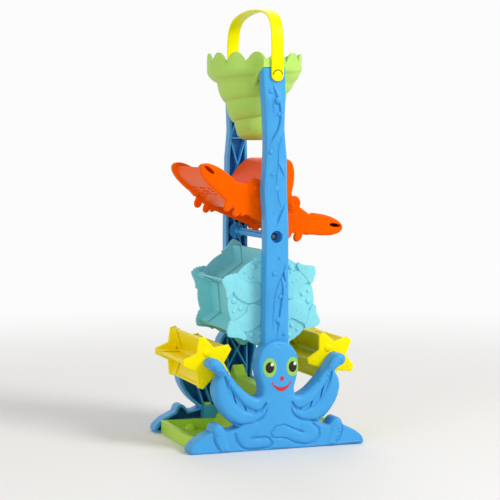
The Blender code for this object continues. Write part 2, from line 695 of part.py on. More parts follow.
def tipper_tray():
    """Two sieve scoops either side of a ridge, with the tube that the axle runs through."""
    lip = SCOOP_LIP
    half = [
        (CLAW_REACH - 2 * lip, -0.0008, "corner"), (0.0735, -0.0070), (0.0640, -0.0118), (0.0430, -0.0184),
        (0.0270, -0.0226), (0.0205, -0.0218), (0.0175, -0.0170), (RIDGE_HALF - 0.0004, 0.0040),
        (0.0146 - lip / 2, 0.0190), (0.0103, 0.0295), (0.0076, 0.0342), (0.0040, RIDGE_TOP - 1.7 * lip),
        (0, RIDGE_TOP - lip),
    ]
    path = half + [(-x, *rest) for x, *rest in reversed(half[:-1])]
    path = [(x, z + CRAB_RISE, *corner) for x, z, *corner in path]
    end = CRAB_FACE - CRAB_PLATE - GAP
    tray = sheet(path, -end, end, TRAY_WALL, steps=2)
    tube = round_bar(0, 0, BOSS_RADIUS, -end, end)
    web = block((-RIDGE_HALF, -end, -TRAY_WALL / 2), (RIDGE_HALF, end, TRAY_WALL / 2))
    join(tray, join(tube, web))
    cut(tray, round_bar(0, 0, AXLE_RADIUS + GAP, -CRAB_FACE, CRAB_FACE))
    for side in (-1, 1):
        for x in SLOT_ROWS:
            for y in (-SLOT_PITCH, 0, SLOT_PITCH):
                low = (side * x - SLOT_WIDTH / 2, y - SLOT_LENGTH / 2, -RIDGE_TOP)
                high = (side * x + SLOT_WIDTH / 2, y + SLOT_LENGTH / 2, 0)
                cut(tray, block(low, high))
    return tray


def axle(name, x, z):
    bar = round_bar(0, 0, AXLE_RADIUS, -AXLE_REACH, AXLE_REACH)
    return place(finish(bar, name, WHITE), x, z)


place(finish(crab_plate(), "crab_front_plate", ORANGE), 0, TIPPER_HEIGHT, TILT)
place(finish(turned(crab_plate(), math.pi), "crab_rear_plate", ORANGE), 0, TIPPER_HEIGHT, TILT)
place(finish(tipper_tray(), "tipper_tray", ORANGE), 0, TIPPER_HEIGHT, TILT)
axle("tipper_axle", 0, TIPPER_HEIGHT)


# Bucket wheels

def polar(radius, angle):
    return (radius * math.cos(angle), radius * math.sin(angle))


def fish_wheel_outline():
    """Six arcs with a fish tail at each corner, longer on its left side."""
    points = []
    for corner in range(WHEEL_PADDLES):
        middle = WHEEL_TURN + corner * math.tau / WHEEL_PADDLES
        for degrees, share in TAIL_SHAPE:
            radius = WHEEL_RADIUS + share * (TAIL_RADIUS - WHEEL_RADIUS)
            points.append((*polar(radius, middle + math.radians(degrees)), "corner"))
        for degrees in (24, 31, 38):
            points.append(polar(WHEEL_RADIUS, middle + math.radians(degrees)))
    return points


def star_outline(turn):
    """A five-pointed star with blunt points and straight edges."""
    points = []
    for tip in range(STAR_PADDLES):
        middle = turn + tip * math.tau / STAR_PADDLES
        for degrees in (-5, 5):
            points.append((*polar(STAR_RADIUS, middle + math.radians(degrees)), "corner"))
        points.append((*polar(STAR_NOTCH, middle + math.pi / STAR_PADDLES), "corner"))
    return points


def spoke(angle, start, end, offset=0.0):
    """Two points on a line out from the axis, set off to one side."""
    along = Vector(polar(1, angle))
    side = offset * Vector((-along.y, along.x))
    return tuple(start * along + side), tuple(end * along + side)


def bucket_floors(paddles, turn, radius, offset, thickness, near, far):
    """The flat floors of the buckets, each from one paddle to the next."""
    angles = [turn + number * math.tau / paddles for number in range(paddles)]
    floors = []
    for angle, following in zip(angles, angles[1:] + angles[:1]):
        start = spoke(angle, radius, radius, offset)[0]
        end = spoke(following, radius, radius, -offset)[0]
        floors.append(strip(start, end, thickness, near, far))
    return floors


def bucket_wheel(name, look, points, face, radius, paddles, turn, socket_length, hub, x, z, drum=None):
    """A wheel of two halves: the front half's paddles slide between pairs of walls on the rear half.

    A drum carries the paddles where one is given, and the rear half lines its sides as far as its walls reach.
    """
    inner = face - PLATE
    split = inner - socket_length
    hub_end = INNER_PLANE - GAP
    root = hub - PADDLE / 2
    rear_hub = root - 2 * GAP
    wall = (SOCKET - PADDLE) / 2 - GAP
    off = (SOCKET - wall) / 2
    foot = rear_hub - wall
    front = outline(points, -face, -inner)
    rear = outline(points, inner, face)
    join(front, round_bar(0, 0, hub, -hub_end, split - GAP))
    join(rear, round_bar(0, 0, rear_hub, split + WALL, hub_end))
    if drum:
        half_turn = math.pi / paddles
        foot = drum + ((PADDLE + wall) / 2 + GAP - off * math.sin(half_turn)) / math.cos(half_turn)
        join(front, *bucket_floors(paddles, turn, drum, 0, PADDLE, -face + PLATE / 2, inner - GAP))
        join(rear, *bucket_floors(paddles, turn, foot, off, wall, split, inner + PLATE / 2))
    for number in range(paddles):
        angle = turn + number * math.tau / paddles
        join(front, strip(*spoke(angle, root, radius), PADDLE, -face + PLATE / 2, inner - GAP))
        for offset in (-off, off):
            join(rear, strip(*spoke(angle, foot, radius, offset), wall, split, inner + PLATE / 2))
    for half, side in ((front, "front"), (rear, "rear")):
        cut(half, round_bar(0, 0, AXLE_RADIUS + GAP, -OUTER_DEPTH, OUTER_DEPTH))
        place(finish(half, f"{name}_{side}_half", look), x, z)
    axle(f"{name}_axle", x, z)


bucket_wheel(
    "fish_wheel", AQUA, fish_wheel_outline(), WHEEL_FACE, WHEEL_PADDLE_REACH, WHEEL_PADDLES, WHEEL_TURN,
    WHEEL_SOCKET_LENGTH, WHEEL_HUB, 0, WHEEL_HEIGHT, WHEEL_DRUM,
)
for side, turn, x in (("left", LEFT_STAR_TURN, -STAR_OFFSET), ("right", RIGHT_STAR_TURN, STAR_OFFSET)):
    bucket_wheel(
        f"{side}_star", YELLOW, star_outline(turn), STAR_FACE, STAR_PADDLE_REACH, STAR_PADDLES, turn,
        STAR_SOCKET_LENGTH, STAR_HUB, x, STAR_HEIGHT,
    )


# Base tray

def plan(points, low, high):
    """A flat outline in X and Y, extruded upwards."""
    piece = outline(points, -high, -low, steps=1)
    piece.data.transform(Matrix.Rotation(-math.pi / 2, 4, "X"))
    return piece


def tray_outline(inset=0.0):
    """A rectangle with rounded corners."""
    x = TRAY_LENGTH / 2 - TRAY_CORNER - inset
    y = INNER_PLANE - GAP - TRAY_CORNER - inset
    points = []
    for number, middle in enumerate(((x, y), (-x, y), (-x, -y), (x, -y))):
        for step in range(CORNER_STEPS + 1):
            angle = (number + step / CORNER_STEPS) * math.pi / 2
            arm = polar(TRAY_CORNER, angle)
            points.append((middle[0] + arm[0], middle[1] + arm[1], "corner"))
    return points


def splitter(half, crest_half, crest, crest_end, base, reach):
    """A ridge with hollow flanks, drawn along Y, whose crest rises towards the towers."""
    start = FLARE_START * reach
    middle = (reach + start) / 2

    def level(x, y):
        climb = (half - abs(x)) / (half - crest_half)
        flare = max(0, (abs(y) - start) / (reach - start))
        return base + climb ** FLANK_CURVE * (crest + (crest_end - crest) * flare ** 2 - base)

    flank = [half + (crest_half - half) * step / FLANK_STEPS for step in range(FLANK_STEPS + 1)]
    profile = flank + [-x for x in reversed(flank)]
    shape = bmesh.new()
    rings = [
        [shape.verts.new((x, y, level(x, y))) for x in profile]
        for y in (-reach, -middle, -start, start, middle, reach)
    ]
    for near, far in zip(rings, rings[1:]):
        for number in range(len(profile)):
            shape.faces.new((near[number - 1], near[number], far[number], far[number - 1]))
    shape.faces.new(rings[0])
    shape.faces.new(rings[-1])
    return solid("splitter", shape)


def base_tray():
    top = TRAY_HEIGHT
    width = INNER_PLANE - GAP
    tray = plan(tray_outline(), TRAY_LIFT, top)
    cut(tray, plan(tray_outline(TRAY_RIM), TRAY_LIFT + TRAY_FLOOR, top + TRAY_RIM))
    join(tray, splitter(
        SPLITTER_HALF, CREST_HALF, CREST_HEIGHT, CREST_END_HEIGHT, TRAY_LIFT + GAP, width - 2 * GAP,
    ))
    under = SPLITTER_WALL
    cut(tray, splitter(
        SPLITTER_HALF - FLANK_INSET, CREST_HALF - CREST_INSET, CREST_HEIGHT - under, CREST_END_HEIGHT - under,
        TRAY_LIFT - under / 2, width - under,
    ))
    hook = SHELF_HEIGHT + RIB / 2 + GAP
    for x in (-TAB_OFFSET, TAB_OFFSET):
        for side in (-1, 1):
            low = x - TAB_WIDTH / 2
            high = x + TAB_WIDTH / 2
            near, far = sorted((side * (width - WALL), side * width))
            tab = block((low, near, top - WALL), (high, far, TAB_RISE))
            near, far = sorted((side * (width - WALL), side * (INNER_PLANE + WALL)))
            join(tab, block((low, near, hook), (high, far, TAB_RISE)))
            join(tray, tab)
    return tray


finish(base_tray(), "base_tray", LIME)
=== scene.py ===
"""A dressed sand and water mill: each moulding with its relief, plastic and print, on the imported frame.

X runs along the feet, Y from the front tower to the rear tower and Z up. Lengths are metres.
"""

import math

import bmesh
import bpy
from mathutils import Matrix, Vector
from mathutils.kdtree import KDTree


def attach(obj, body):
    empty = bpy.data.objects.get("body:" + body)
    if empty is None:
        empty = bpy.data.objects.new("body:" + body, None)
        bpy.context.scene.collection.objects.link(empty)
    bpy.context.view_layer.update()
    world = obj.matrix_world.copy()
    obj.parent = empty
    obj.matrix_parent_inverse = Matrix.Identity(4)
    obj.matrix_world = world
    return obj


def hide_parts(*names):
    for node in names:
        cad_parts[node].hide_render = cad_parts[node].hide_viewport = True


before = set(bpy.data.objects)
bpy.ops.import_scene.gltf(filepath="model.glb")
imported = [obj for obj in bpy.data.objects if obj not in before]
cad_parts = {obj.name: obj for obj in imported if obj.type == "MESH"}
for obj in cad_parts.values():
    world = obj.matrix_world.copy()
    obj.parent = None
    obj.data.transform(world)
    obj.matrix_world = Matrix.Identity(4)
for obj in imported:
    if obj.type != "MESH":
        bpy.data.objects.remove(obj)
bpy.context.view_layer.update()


# Towers
# Two equal hollow mouldings in satin blue polypropylene, open at the back, where thin ribs stiffen them.
# An octopus is moulded on each foot, with seaweed and bubbles up the column and a web before the tray's tabs.
# A cross rod ties the two together.

ENDS = (("front", Matrix.Identity(4)), ("rear", Matrix.Rotation(math.pi, 4, "Z")))
TOWER_BLUE = (0.056, 0.360, 0.740)
TOWER_FACE = 0.0685
COLUMN_FACE = 0.0650
SKIN_STEP = 0.0008
EDGE_ROUND = 0.0052
PUFF = 0.0042
GROOVE_FLOOR = 0.0014
FOOT_PLANE = 0.0027
FOOT_EDGE = 0.0250
SUCKER = 0.0012
RIBBON_RISE = 0.0018
RIBBON_FALL = 0.0060
RIBBON_STEP = 0.00035
RIBBON_TAPER = 5
RIBBON_SKIN = 0.0005
RIBBON_GROOVE = 0.0007
RIBBON_GROOVE_WIDTH = 0.0015
FOLD_SLOPE = 1.7
WEB_LOW = (-0.0383, -0.0495, 0.0128)
WEB_HIGH = (0.0383, -0.0478, 0.0269)
OUTLINE_STEP = 0.0004
BUBBLE_RISE = 0.65
SUCKER_RISE = 0.7
FLAT = 1e-5
# How far a face has to look to the front: one of the foot's front, then one of the column's
SLANTED = 0.02
UPRIGHT = 0.999
SKIN_SMOOTH = 0.25
SWELL_FORM = 2.6
# Scale and detail of the noise in the plastic: flow marks, then the satin grain
FLOW = (34, 3)
SATIN = (1400, 2)
FLOW_LIGHT = 1.05
GLOSS_LESS = 0.06
GLOSS_MORE = 0.08
GRAIN_DEPTH = 0.0002


def merged(node):
    """A CAD node's mesh with its loose triangles joined."""
    shape = bmesh.new()
    shape.from_mesh(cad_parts[node].data)
    bmesh.ops.remove_doubles(shape, verts=shape.verts, dist=2e-6)
    return shape


def wired(tree, node, inputs, **settings):
    """A shader node, found by name or made by kind, with a value or another node's output on each input."""
    node = tree.nodes.get(node) or tree.nodes.new(node)
    for name, value in settings.items():
        setattr(node, name, value)
    for name, value in inputs.items():
        if isinstance(value, bpy.types.NodeSocket):
            tree.links.new(value, node.inputs[name])
        else:
            node.inputs[name].default_value = value
    return node


def moulded_plastic(name, colour, roughness, grain=0.10, shade=0.92, specular=0.25, gleam=(1, 1, 1)):
    """Injection-moulded plastic: faint flow marks in its colour and gloss, and a fine satin grain."""
    material = bpy.data.materials.new(name)
    material.use_nodes = True
    tree = material.node_tree
    place = wired(tree, "ShaderNodeTexCoord", {}).outputs["Object"]
    flow, satin = [
        wired(tree, "ShaderNodeTexNoise", {"Vector": place, "Scale": scale, "Detail": detail}).outputs["Fac"]
        for scale, detail in (FLOW, SATIN)
    ]
    dark = (*[shade * part for part in colour], 1)
    pale = (*[min(1, part * FLOW_LIGHT) for part in colour], 1)
    tint = wired(tree, "ShaderNodeMix", {"Factor": flow, "A": dark, "B": pale}, data_type="RGBA")
    spread = {"To Min": roughness - GLOSS_LESS, "To Max": roughness + GLOSS_MORE}
    gloss = wired(tree, "ShaderNodeMapRange", {"Value": flow, **spread})
    bump = wired(tree, "ShaderNodeBump", {"Height": satin, "Strength": grain, "Distance": GRAIN_DEPTH})
    wired(tree, "Principled BSDF", {
        "Base Color": tint.outputs["Result"],
        "Roughness": gloss.outputs["Result"],
        "Normal": bump.outputs["Normal"],
        "Specular IOR Level": specular,
        "Specular Tint": (*gleam, 1),
    })
    return material


def placed(name, data):
    """A new object in the scene."""
    holder = bpy.data.objects.new(name, data)
    bpy.context.scene.collection.objects.link(holder)
    return holder


def mesh_of(shape, name):
    """The mesh of a finished shape."""
    mesh = bpy.data.meshes.new(name)
    shape.to_mesh(mesh)
    shape.free()
    return mesh


def settle(shape, name, body, material, slot, *nodes, crease=35):
    """Makes the finished piece, shaded smooth up to a crease, and puts it on its body."""
    mesh = mesh_of(shape, name)
    if "custom_normal" in mesh.attributes:
        mesh.attributes.remove(mesh.attributes["custom_normal"])
    mesh.materials.append(material)
    mesh.shade_smooth()
    mesh.set_sharp_from_angle(angle=math.radians(crease))
    piece = placed(name, mesh)
    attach(piece, body)
    if nodes:
        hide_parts(*nodes)
    return piece


def joined(shape, *others):
    """Adds other shapes to a shape, as closed bodies that run into it."""
    for other in others:
        mesh = mesh_of(other, "other")
        shape.from_mesh(mesh)
        bpy.data.meshes.remove(mesh)
    return shape


def bar(low, high):
    """A plain bar between two corners."""
    shape = bmesh.new()
    middle = (Vector(low) + Vector(high)) / 2
    place = Matrix.Translation(middle) @ Matrix.Diagonal((*(Vector(high) - Vector(low)), 1))
    bmesh.ops.create_cube(shape, size=1, matrix=place)
    return shape


def moved(shape, matrix):
    """Moves a whole shape and returns it."""
    bmesh.ops.transform(shape, matrix=matrix, verts=shape.verts)
    return shape


def outward(shape):
    """Turns the faces of a shape outwards and returns it."""
    bmesh.ops.recalc_face_normals(shape, faces=shape.faces)
    return shape


def open_edges(shape):
    """The edges round the openings of a shape."""
    return [edge for edge in shape.edges if edge.is_boundary]


def beside(start, end, x, z):
    """How far a point lies from a straight line, by which share of the line and on which side."""
    dx, dz = end[0] - start[0], end[1] - start[1]
    ox, oz = x - start[0], z - start[1]
    t = min(max((ox * dx + oz * dz) / (dx * dx + dz * dz), 0), 1)
    return math.hypot(ox - t * dx, oz - t * dz), t, math.copysign(1, dx * oz - dz * ox)


def along(chain, x, z):
    """Distance from a point to a chain of (x, z, radius) as a share of the chain's radius there."""
    best = math.inf
    for start, end in zip(chain, chain[1:]):
        gap, t, _ = beside(start, end, x, z)
        best = min(best, gap / (start[2] + t * (end[2] - start[2])))
    return best


# Each swelling: lowest and highest level over the wall, and a chain of x, z and radius in millimetres
BODY = (2.0, 4.1, ((0, 86, 20.5), (0, 62, 18), (0, 42, 16), (0, 22, 26)))
ARMS = (
    (0.8, 4.2, ((9, 48.5, 8.6), (21, 44.9, 6.9), (32.2, 48.9, 6.4), (41.2, 57.8, 5.7), (49.6, 67.6, 5.1),
                (56, 76.8, 4.8), (61, 83, 5.8), (65.5, 85.6, 5.6))),
    (0.8, 4.2, ((15.5, 36.5, 4.6), (26.5, 32.6, 5.6), (38, 33.6, 7.4), (48.5, 41.3, 7.6), (55.8, 53, 7.2),
                (57.8, 63.5, 6.0), (57.2, 70.5, 4.2))),
    (2.0, 4.1, ((61, 25, 5.8), (60.2, 14, 5.8), (55.4, 1, 5.8))),
)
FOOT_ARMS = (
    (1.8, 4.1, ((-28, 24, 8), (-36, 15.5, 8.2), (-33, 8.6, 6.4), (-22, 7.4, 5.2), (-12, 7.6, 4.6))),
    (1.8, 4.1, ((28, 21, 8), (35.4, 14, 7.6), (28.6, 9.8, 6.4), (18, 12.4, 6), (7, 17.3, 6.2),
                (-2.5, 17.4, 5.4))),
)
# Moulded lines: depth, then x, z and half width, in millimetres. Those of the arms are mirrored
ARM_CREASES = (
    (2.6, ((13.5, 46.2, 0.9), (18.3, 39.2, 1.4), (26.7, 38.1, 2.1), (36.3, 43.8, 3.0), (45, 53.6, 3.2),
           (51.5, 64, 2.3), (55.6, 74, 1.0))),
    (1.7, ((12.9, 39.5, 0.8), (14.7, 34.8, 1.1), (18.3, 31.2, 1.3), (25.8, 27.4, 1.4), (38.4, 25.9, 1.4),
           (47, 29.6, 1.2))),
    (1.3, ((66.8, 20, 1.0), (65.6, 12.3, 1.2), (62.5, 5.7, 1.2), (58.3, 0, 1.2))),
)
FOOT_CREASES = (
    (0.5, ((-2.4, 103.6, 0.9), (1.2, 100.2, 0.9), (4.8, 103.2, 0.9))),
    (1.5, ((-44.6, 18.1, 1.1), (-43.8, 12.1, 1.2), (-39.9, 5.9, 1.2), (-33.7, 2.2, 1.2), (-22.7, 1.7, 1.2),
           (-9.5, 2.4, 1.2), (-6.9, 6.7, 1.2), (-9.3, 11.0, 1.2), (-14, 13.4, 1.2), (-21.1, 13.1, 1.2),
           (-29, 12.3, 1.1))),
    (1.5, ((34.6, 24.5, 1.1), (41.9, 18.8, 1.2), (42.7, 11.2, 1.2), (37.9, 4.6, 1.2), (28.2, 3.1, 1.2),
           (17, 5.6, 1.2), (7.4, 10.7, 1.2), (-6.9, 12.1, 1.2), (-8.7, 16.5, 1.2), (-3.8, 22.6, 1.2),
           (5.8, 24, 1.2), (16.9, 18.8, 1.2), (25, 16, 1.1))),
)


def swelling(level, x, z):
    """Height of one rounded part of the octopus at a point, in millimetres."""
    low, high, chain = level
    share = along(chain, x, z)
    return low + (high - low) * (1 - share ** SWELL_FORM) ** 0.5 if share < 1 else 0


def fold(depth, line, x, z):
    """Depth of a moulded line, which has steep sides and a flat floor."""
    return depth * min(1, FOLD_SLOPE * max(0, 1 - along(line, x, z)))


def octopus_level(x, z, edge):
    """How far the octopus stands out from the wall's front at a point, which lies edge from the outline."""
    mx, mz = 1000 * x, 1000 * z
    levels = [swelling(part, abs(mx), mz) for part in (BODY, *ARMS)]
    levels += [swelling(part, mx, mz) for part in FOOT_ARMS]
    height = max(0.001 * max(levels), FOOT_PLANE if z < FOOT_EDGE else GROOVE_FLOOR)
    folds = [fold(*crease, abs(mx), mz) for crease in ARM_CREASES]
    folds += [fold(*crease, mx, mz) for crease in FOOT_CREASES]
    height -= 0.001 * max(folds)
    turn = 1 - min(edge / EDGE_ROUND, 1)
    return min(height, PUFF * math.sqrt(1 - turn * turn))


def outline_tree(rim):
    """Close points along boundary edges, to measure the distance from the outline."""
    runs = [(edge, max(2, int(edge.calc_length() / OUTLINE_STEP))) for edge in rim]
    points = [
        edge.verts[0].co.lerp(edge.verts[1].co, step / steps) for edge, steps in runs for step in range(steps)
    ]
    tree = KDTree(len(points))
    for number, point in enumerate(points):
        tree.insert(point, number)
    tree.balance()
    return tree


def finely_cut(shape, faces, step=SKIN_STEP):
    """Cuts flat front faces into small squares, along the longer side first, and returns their vertices."""
    verts = list({vert for face in faces for vert in face.verts})
    skin = faces + list({edge for face in faces for edge in face.edges}) + verts
    places = {axis: [vert.co[axis] for vert in verts] for axis in (0, 2)}
    for axis in sorted(places, key=lambda axis: min(places[axis]) - max(places[axis])):
        across = Vector((axis == 0, 0, axis == 2))
        low = min(places[axis])
        for number in range(1, int((max(places[axis]) - low) / step) + 1):
            middle = across * (low + number * step)
            cut = bmesh.ops.bisect_plane(shape, geom=skin, dist=1e-7, plane_co=middle, plane_no=across)
            skin = cut["geom"]
    return [item for item in skin if isinstance(item, bmesh.types.BMVert)]


def octopus_skin(shape):
    """Replaces the flat front of the foot by a finely divided skin that carries the octopus in relief."""
    front = [
        face for face in shape.faces
        if face.normal.y < -SLANTED and all(vert.co.y < -TOWER_FACE + FLAT for vert in face.verts)
    ]
    bmesh.ops.delete(shape, geom=front, context="FACES")
    rim = open_edges(shape)
    filled = bmesh.ops.edgeloop_fill(shape, edges=rim)["faces"]
    outward(shape)
    tree = outline_tree(rim)
    raised = []
    for vert in finely_cut(shape, filled):
        edge = tree.find(vert.co)[2]
        if edge > 2 * FLAT:
            vert.co.y -= octopus_level(vert.co.x, vert.co.z, edge)
            raised.append(vert)
    bmesh.ops.smooth_vert(shape, verts=raised, factor=SKIN_SMOOTH, use_axis_y=True)
    return tree


def smooth_route(points, steps=4):
    """A smooth curve through a list of points, as more points."""
    ends = [points[0], *points, points[-1]]
    route = []
    for run in zip(ends, ends[1:], ends[2:], ends[3:]):
        for step in range(steps):
            t = step / steps
            weights = (
                t * (2 * t - 1 - t * t), 2 + t * t * (3 * t - 5), t * (1 + t * (4 - 3 * t)), t * t * (t - 1),
            )
            route.append(tuple(sum(w * point[axis] for w, point in zip(weights, run)) / 2 for axis in (0, 1)))
    return [*route, points[-1]]


# Seaweed blades from the top down: the side of its edge on which a blade lies, then x and z in millimetres
SEAWEED = (
    (1, ((-5.3, 355.2), (-1.4, 346.7), (2.9, 333.3), (3.5, 328.4), (3.2, 318.6), (0.6, 310), (-4.6, 301.4),
         (-8.6, 294.1))),
    (-1, ((-6, 344.8), (-5.3, 336.9), (-3.6, 327.1), (-0.1, 317.4))),
    (-1, ((8.5, 314.3), (3.2, 301.4), (0.6, 290.4), (0.4, 279.3), (-0.7, 269.5), (-1.3, 258.4), (0.1, 246.9),
          (2.4, 237.8), (5.2, 232.6))),
    (1, ((0.6, 280.3), (4.6, 271.9), (9.3, 262.1))),
    (1, ((9.8, 241.6), (5.9, 232.6), (1.8, 223.6), (-1.7, 215.2))),
    (-1, ((-8.6, 222.4), (-3.8, 214.6))),
    (-1, ((11.1, 183.6), (6.4, 172.5), (1.6, 162.6), (-2.5, 150.4), (-4, 137.1), (-4.5, 125.9),
          (-4.8, 105.7))),
    (1, ((10.5, 184.7), (7, 174.8), (8.2, 165.8), (11.2, 160.1))),
    (1, ((3.4, 168.2), (6.2, 159.1), (5.8, 150.2), (4.6, 141.3), (2.9, 130.1), (1.9, 121.2), (-0.7, 105.6))),
)
BLADES = [(side, smooth_route([(0.001 * x, 0.001 * z) for x, z in points])) for side, points in SEAWEED]
# Bubbles on the column: x, z and radius in millimetres
BUBBLES = (
    (-5.9, 346.9, 2.2), (1.3, 338.7, 3.6), (2.5, 325.4, 2.5), (-6.5, 289.0, 2.2), (-4.2, 267.4, 1.9),
    (-0.6, 253.4, 3.6), (-3.1, 230.7, 1.0), (3.1, 186.4, 1.7), (-2.6, 171.2, 2.4), (10.1, 158.7, 1.4),
    (3.9, 148.7, 2.4), (2.2, 125.6, 3.5), (7.9, 112.3, 2.1),
)
# Sucker dots along the arms and foot rolls, mirrored
SUCKERS = smooth_route(((65.8, 85.4), (61.8, 80.2), (56, 77.8), (51.3, 70.9), (50.8, 62), (48.5, 56.3)), 2)
SUCKERS += smooth_route(((62.5, 18), (63.4, 14.6), (61.9, 10.3), (60.6, 6.8), (58, 3)), 1)


def blade_level(x, z):
    """Height of the seaweed over the column's face: a blade has a crisp edge by a groove and thins out."""
    height = 0
    for side, route in BLADES:
        if not route[-1][1] - RIBBON_FALL < z < route[0][1] + RIBBON_FALL:
            continue
        nearest = (math.inf, 0, 0)
        for number, (start, end) in enumerate(zip(route, route[1:])):
            gap, t, turn = beside(start, end, x, z)
            if gap < nearest[0]:
                nearest = (gap, number + t, turn)
        gap, place, turn = nearest
        inside = gap * turn * side
        taper = min(1, place / RIBBON_TAPER, (len(route) - 1 - place) / RIBBON_TAPER)
        if inside > RIBBON_STEP:
            height += taper * RIBBON_RISE * math.exp((RIBBON_STEP - inside) / RIBBON_FALL)
        elif inside > -RIBBON_STEP:
            share = (inside + RIBBON_STEP) / (2 * RIBBON_STEP)
            height += taper * (RIBBON_RISE * share - RIBBON_GROOVE * (1 - share))
        elif inside > -RIBBON_GROOVE_WIDTH:
            share = (inside + RIBBON_GROOVE_WIDTH) / (RIBBON_GROOVE_WIDTH - RIBBON_STEP)
            height -= taper * RIBBON_GROOVE * share
    return height


def column_skin(shape):
    """Divides the column's flat face finely and raises the seaweed on it."""
    flat = [
        face for face in shape.faces
        if face.normal.y < -UPRIGHT and all(abs(vert.co.y + COLUMN_FACE) < FLAT for vert in face.verts)
    ]
    bmesh.ops.delete(shape, geom=flat, context="FACES")
    rim = open_edges(shape)
    filled = bmesh.ops.triangle_fill(shape, use_beauty=True, edges=rim)["geom"]
    filled = [item for item in filled if isinstance(item, bmesh.types.BMFace)]
    outward(shape)
    tree = outline_tree(rim)
    for vert in finely_cut(shape, filled, RIBBON_SKIN):
        edge = tree.find(vert.co)[2]
        vert.co.y -= blade_level(vert.co.x, vert.co.z) * min(1, edge / (2 * SKIN_STEP))


def dome(shape, x, y, z, radius, height):
    """A shallow bubble whose lower half lies in the wall."""
    place = Matrix.Translation((x, y, z)) @ Matrix.Diagonal((radius, height, radius, 1))
    bmesh.ops.create_uvsphere(shape, u_segments=20, v_segments=12, radius=1, matrix=place)


tower_shape = merged("front_tower")
column_skin(tower_shape)
foot_outline = octopus_skin(tower_shape)


def on_octopus(x, z):
    """The depth of the octopus's surface at a point."""
    edge = foot_outline.find((x, -TOWER_FACE, z))[2]
    return -TOWER_FACE - octopus_level(x, z, edge)


for x, z, radius in BUBBLES:
    x, z, radius = 0.001 * x, 0.001 * z, 0.001 * radius
    dome(tower_shape, x, -COLUMN_FACE - blade_level(x, z), z, radius, BUBBLE_RISE * radius)
for x, z in [(0.001 * side * x, 0.001 * z) for x, z in SUCKERS for side in (-1, 1)]:
    dome(tower_shape, x, on_octopus(x, z), z, SUCKER, SUCKER_RISE * SUCKER)
joined(tower_shape, bar(WEB_LOW, WEB_HIGH))
tower_blue = moulded_plastic("tower_blue", TOWER_BLUE, roughness=0.40)
for end, turn in ENDS:
    shape = moved(tower_shape.copy(), turn)
    settle(shape, f"{end}_tower_moulding", "frame", tower_blue, "blue_plastic", f"{end}_tower")


# Octopus faces
# Pad prints on the head in four flat inks: lime eyes, black pupils, a white glint, a red nose and smile.
# They are thin films that follow the moulding.

FACE_MIDDLE = 0.0021
EYE_HEIGHT = 0.0808
EYE_SPREAD = 0.0119
FILM = 0.00016
EYE_LIME = (0.300, 0.600, 0.110)
PUPIL_BLACK = (0.018, 0.015, 0.012)
GLINT_WHITE = (0.85, 0.86, 0.84)
MOUTH_RED = (0.560, 0.040, 0.060)
SMILE_HALF = 0.0096
SMILE_STEPS = 12
# Lower and upper edge of the smile: height of its corners, depth of its bow and power of the bow
SMILE_EDGES = ((0.0650, 0.0079, 0.8), (0.0656, 0.0043, 0.9))
DIMPLE_HALF = (0.0006, 0.0017)
DIMPLE_TURN = math.radians(38)
DIMPLE_PLACE = (0.0095, 0.0656)
# Half width and half height of the eye's prints, then how far the glint lies from the eye's middle
EYE = (0.0068, 0.0094)
PUPIL = (0.0043, 0.0053)
GLINT = (0.0015, 0.0016, 0.0022, 0.0030)
# Place, half width and half height of the nose
NOSE = (0.0006, 0.0697, 0.0022, 0.0024)


def grown(shape, edges):
    """Grows a strip of faces on edges and returns its new vertices."""
    strip = bmesh.ops.extrude_edge_only(shape, edges=edges)["geom"]
    return [item for item in strip if isinstance(item, bmesh.types.BMVert)]


def printed(outline, lift):
    """A film of ink inside an outline of (x, z) points, laid on the head."""
    shape = bmesh.new()
    loop = [shape.verts.new((x, 0, z)) for x, z in outline]
    edges = [shape.edges.new(pair) for pair in zip(loop, loop[1:] + loop[:1])]
    filled = bmesh.ops.edgeloop_fill(shape, edges=edges)["faces"]
    finely_cut(shape, filled)
    for vert in shape.verts:
        vert.co.y = on_octopus(vert.co.x, vert.co.z) - lift
    for vert in grown(shape, open_edges(shape)):
        vert.co.y += lift + FILM
    outward(shape)
    if sum(face.normal.y for face in shape.faces) > 0:
        bmesh.ops.reverse_faces(shape, faces=shape.faces)
    return shape


def oval(x, z, across, up, steps=40):
    """The outline of an oval, with x from the middle of the face."""
    turns = [math.tau * step / steps for step in range(steps)]
    return [(FACE_MIDDLE + x + across * math.cos(turn), z + up * math.sin(turn)) for turn in turns]


def smile():
    """A crescent that thins out to its raised corners."""
    shares = [2 * step / SMILE_STEPS - 1 for step in range(SMILE_STEPS + 1)]
    edges = []
    for height, depth, power in SMILE_EDGES:
        bows = [depth * math.cos(share * math.pi / 2) ** power for share in shares]
        edges.append([(FACE_MIDDLE + SMILE_HALF * share, height - bow) for share, bow in zip(shares, bows)])
    low, top = edges
    return low + top[::-1]


def dimples():
    """A short stroke across each corner of the smile."""
    corners = []
    for side in (-1, 1):
        stroke = oval(0, 0, *DIMPLE_HALF, steps=16)
        turn = Matrix.Rotation(side * DIMPLE_TURN, 2)
        points = [turn @ Vector((x - FACE_MIDDLE, z)) for x, z in stroke]
        corners.append([(x + FACE_MIDDLE + side * DIMPLE_PLACE[0], z + DIMPLE_PLACE[1]) for x, z in points])
    return corners


def eye_pair(across, up, x=0.0, z=0.0):
    """The same oval on both eyes."""
    return [oval(side * EYE_SPREAD + x, EYE_HEIGHT + z, across, up) for side in (-1, 1)]


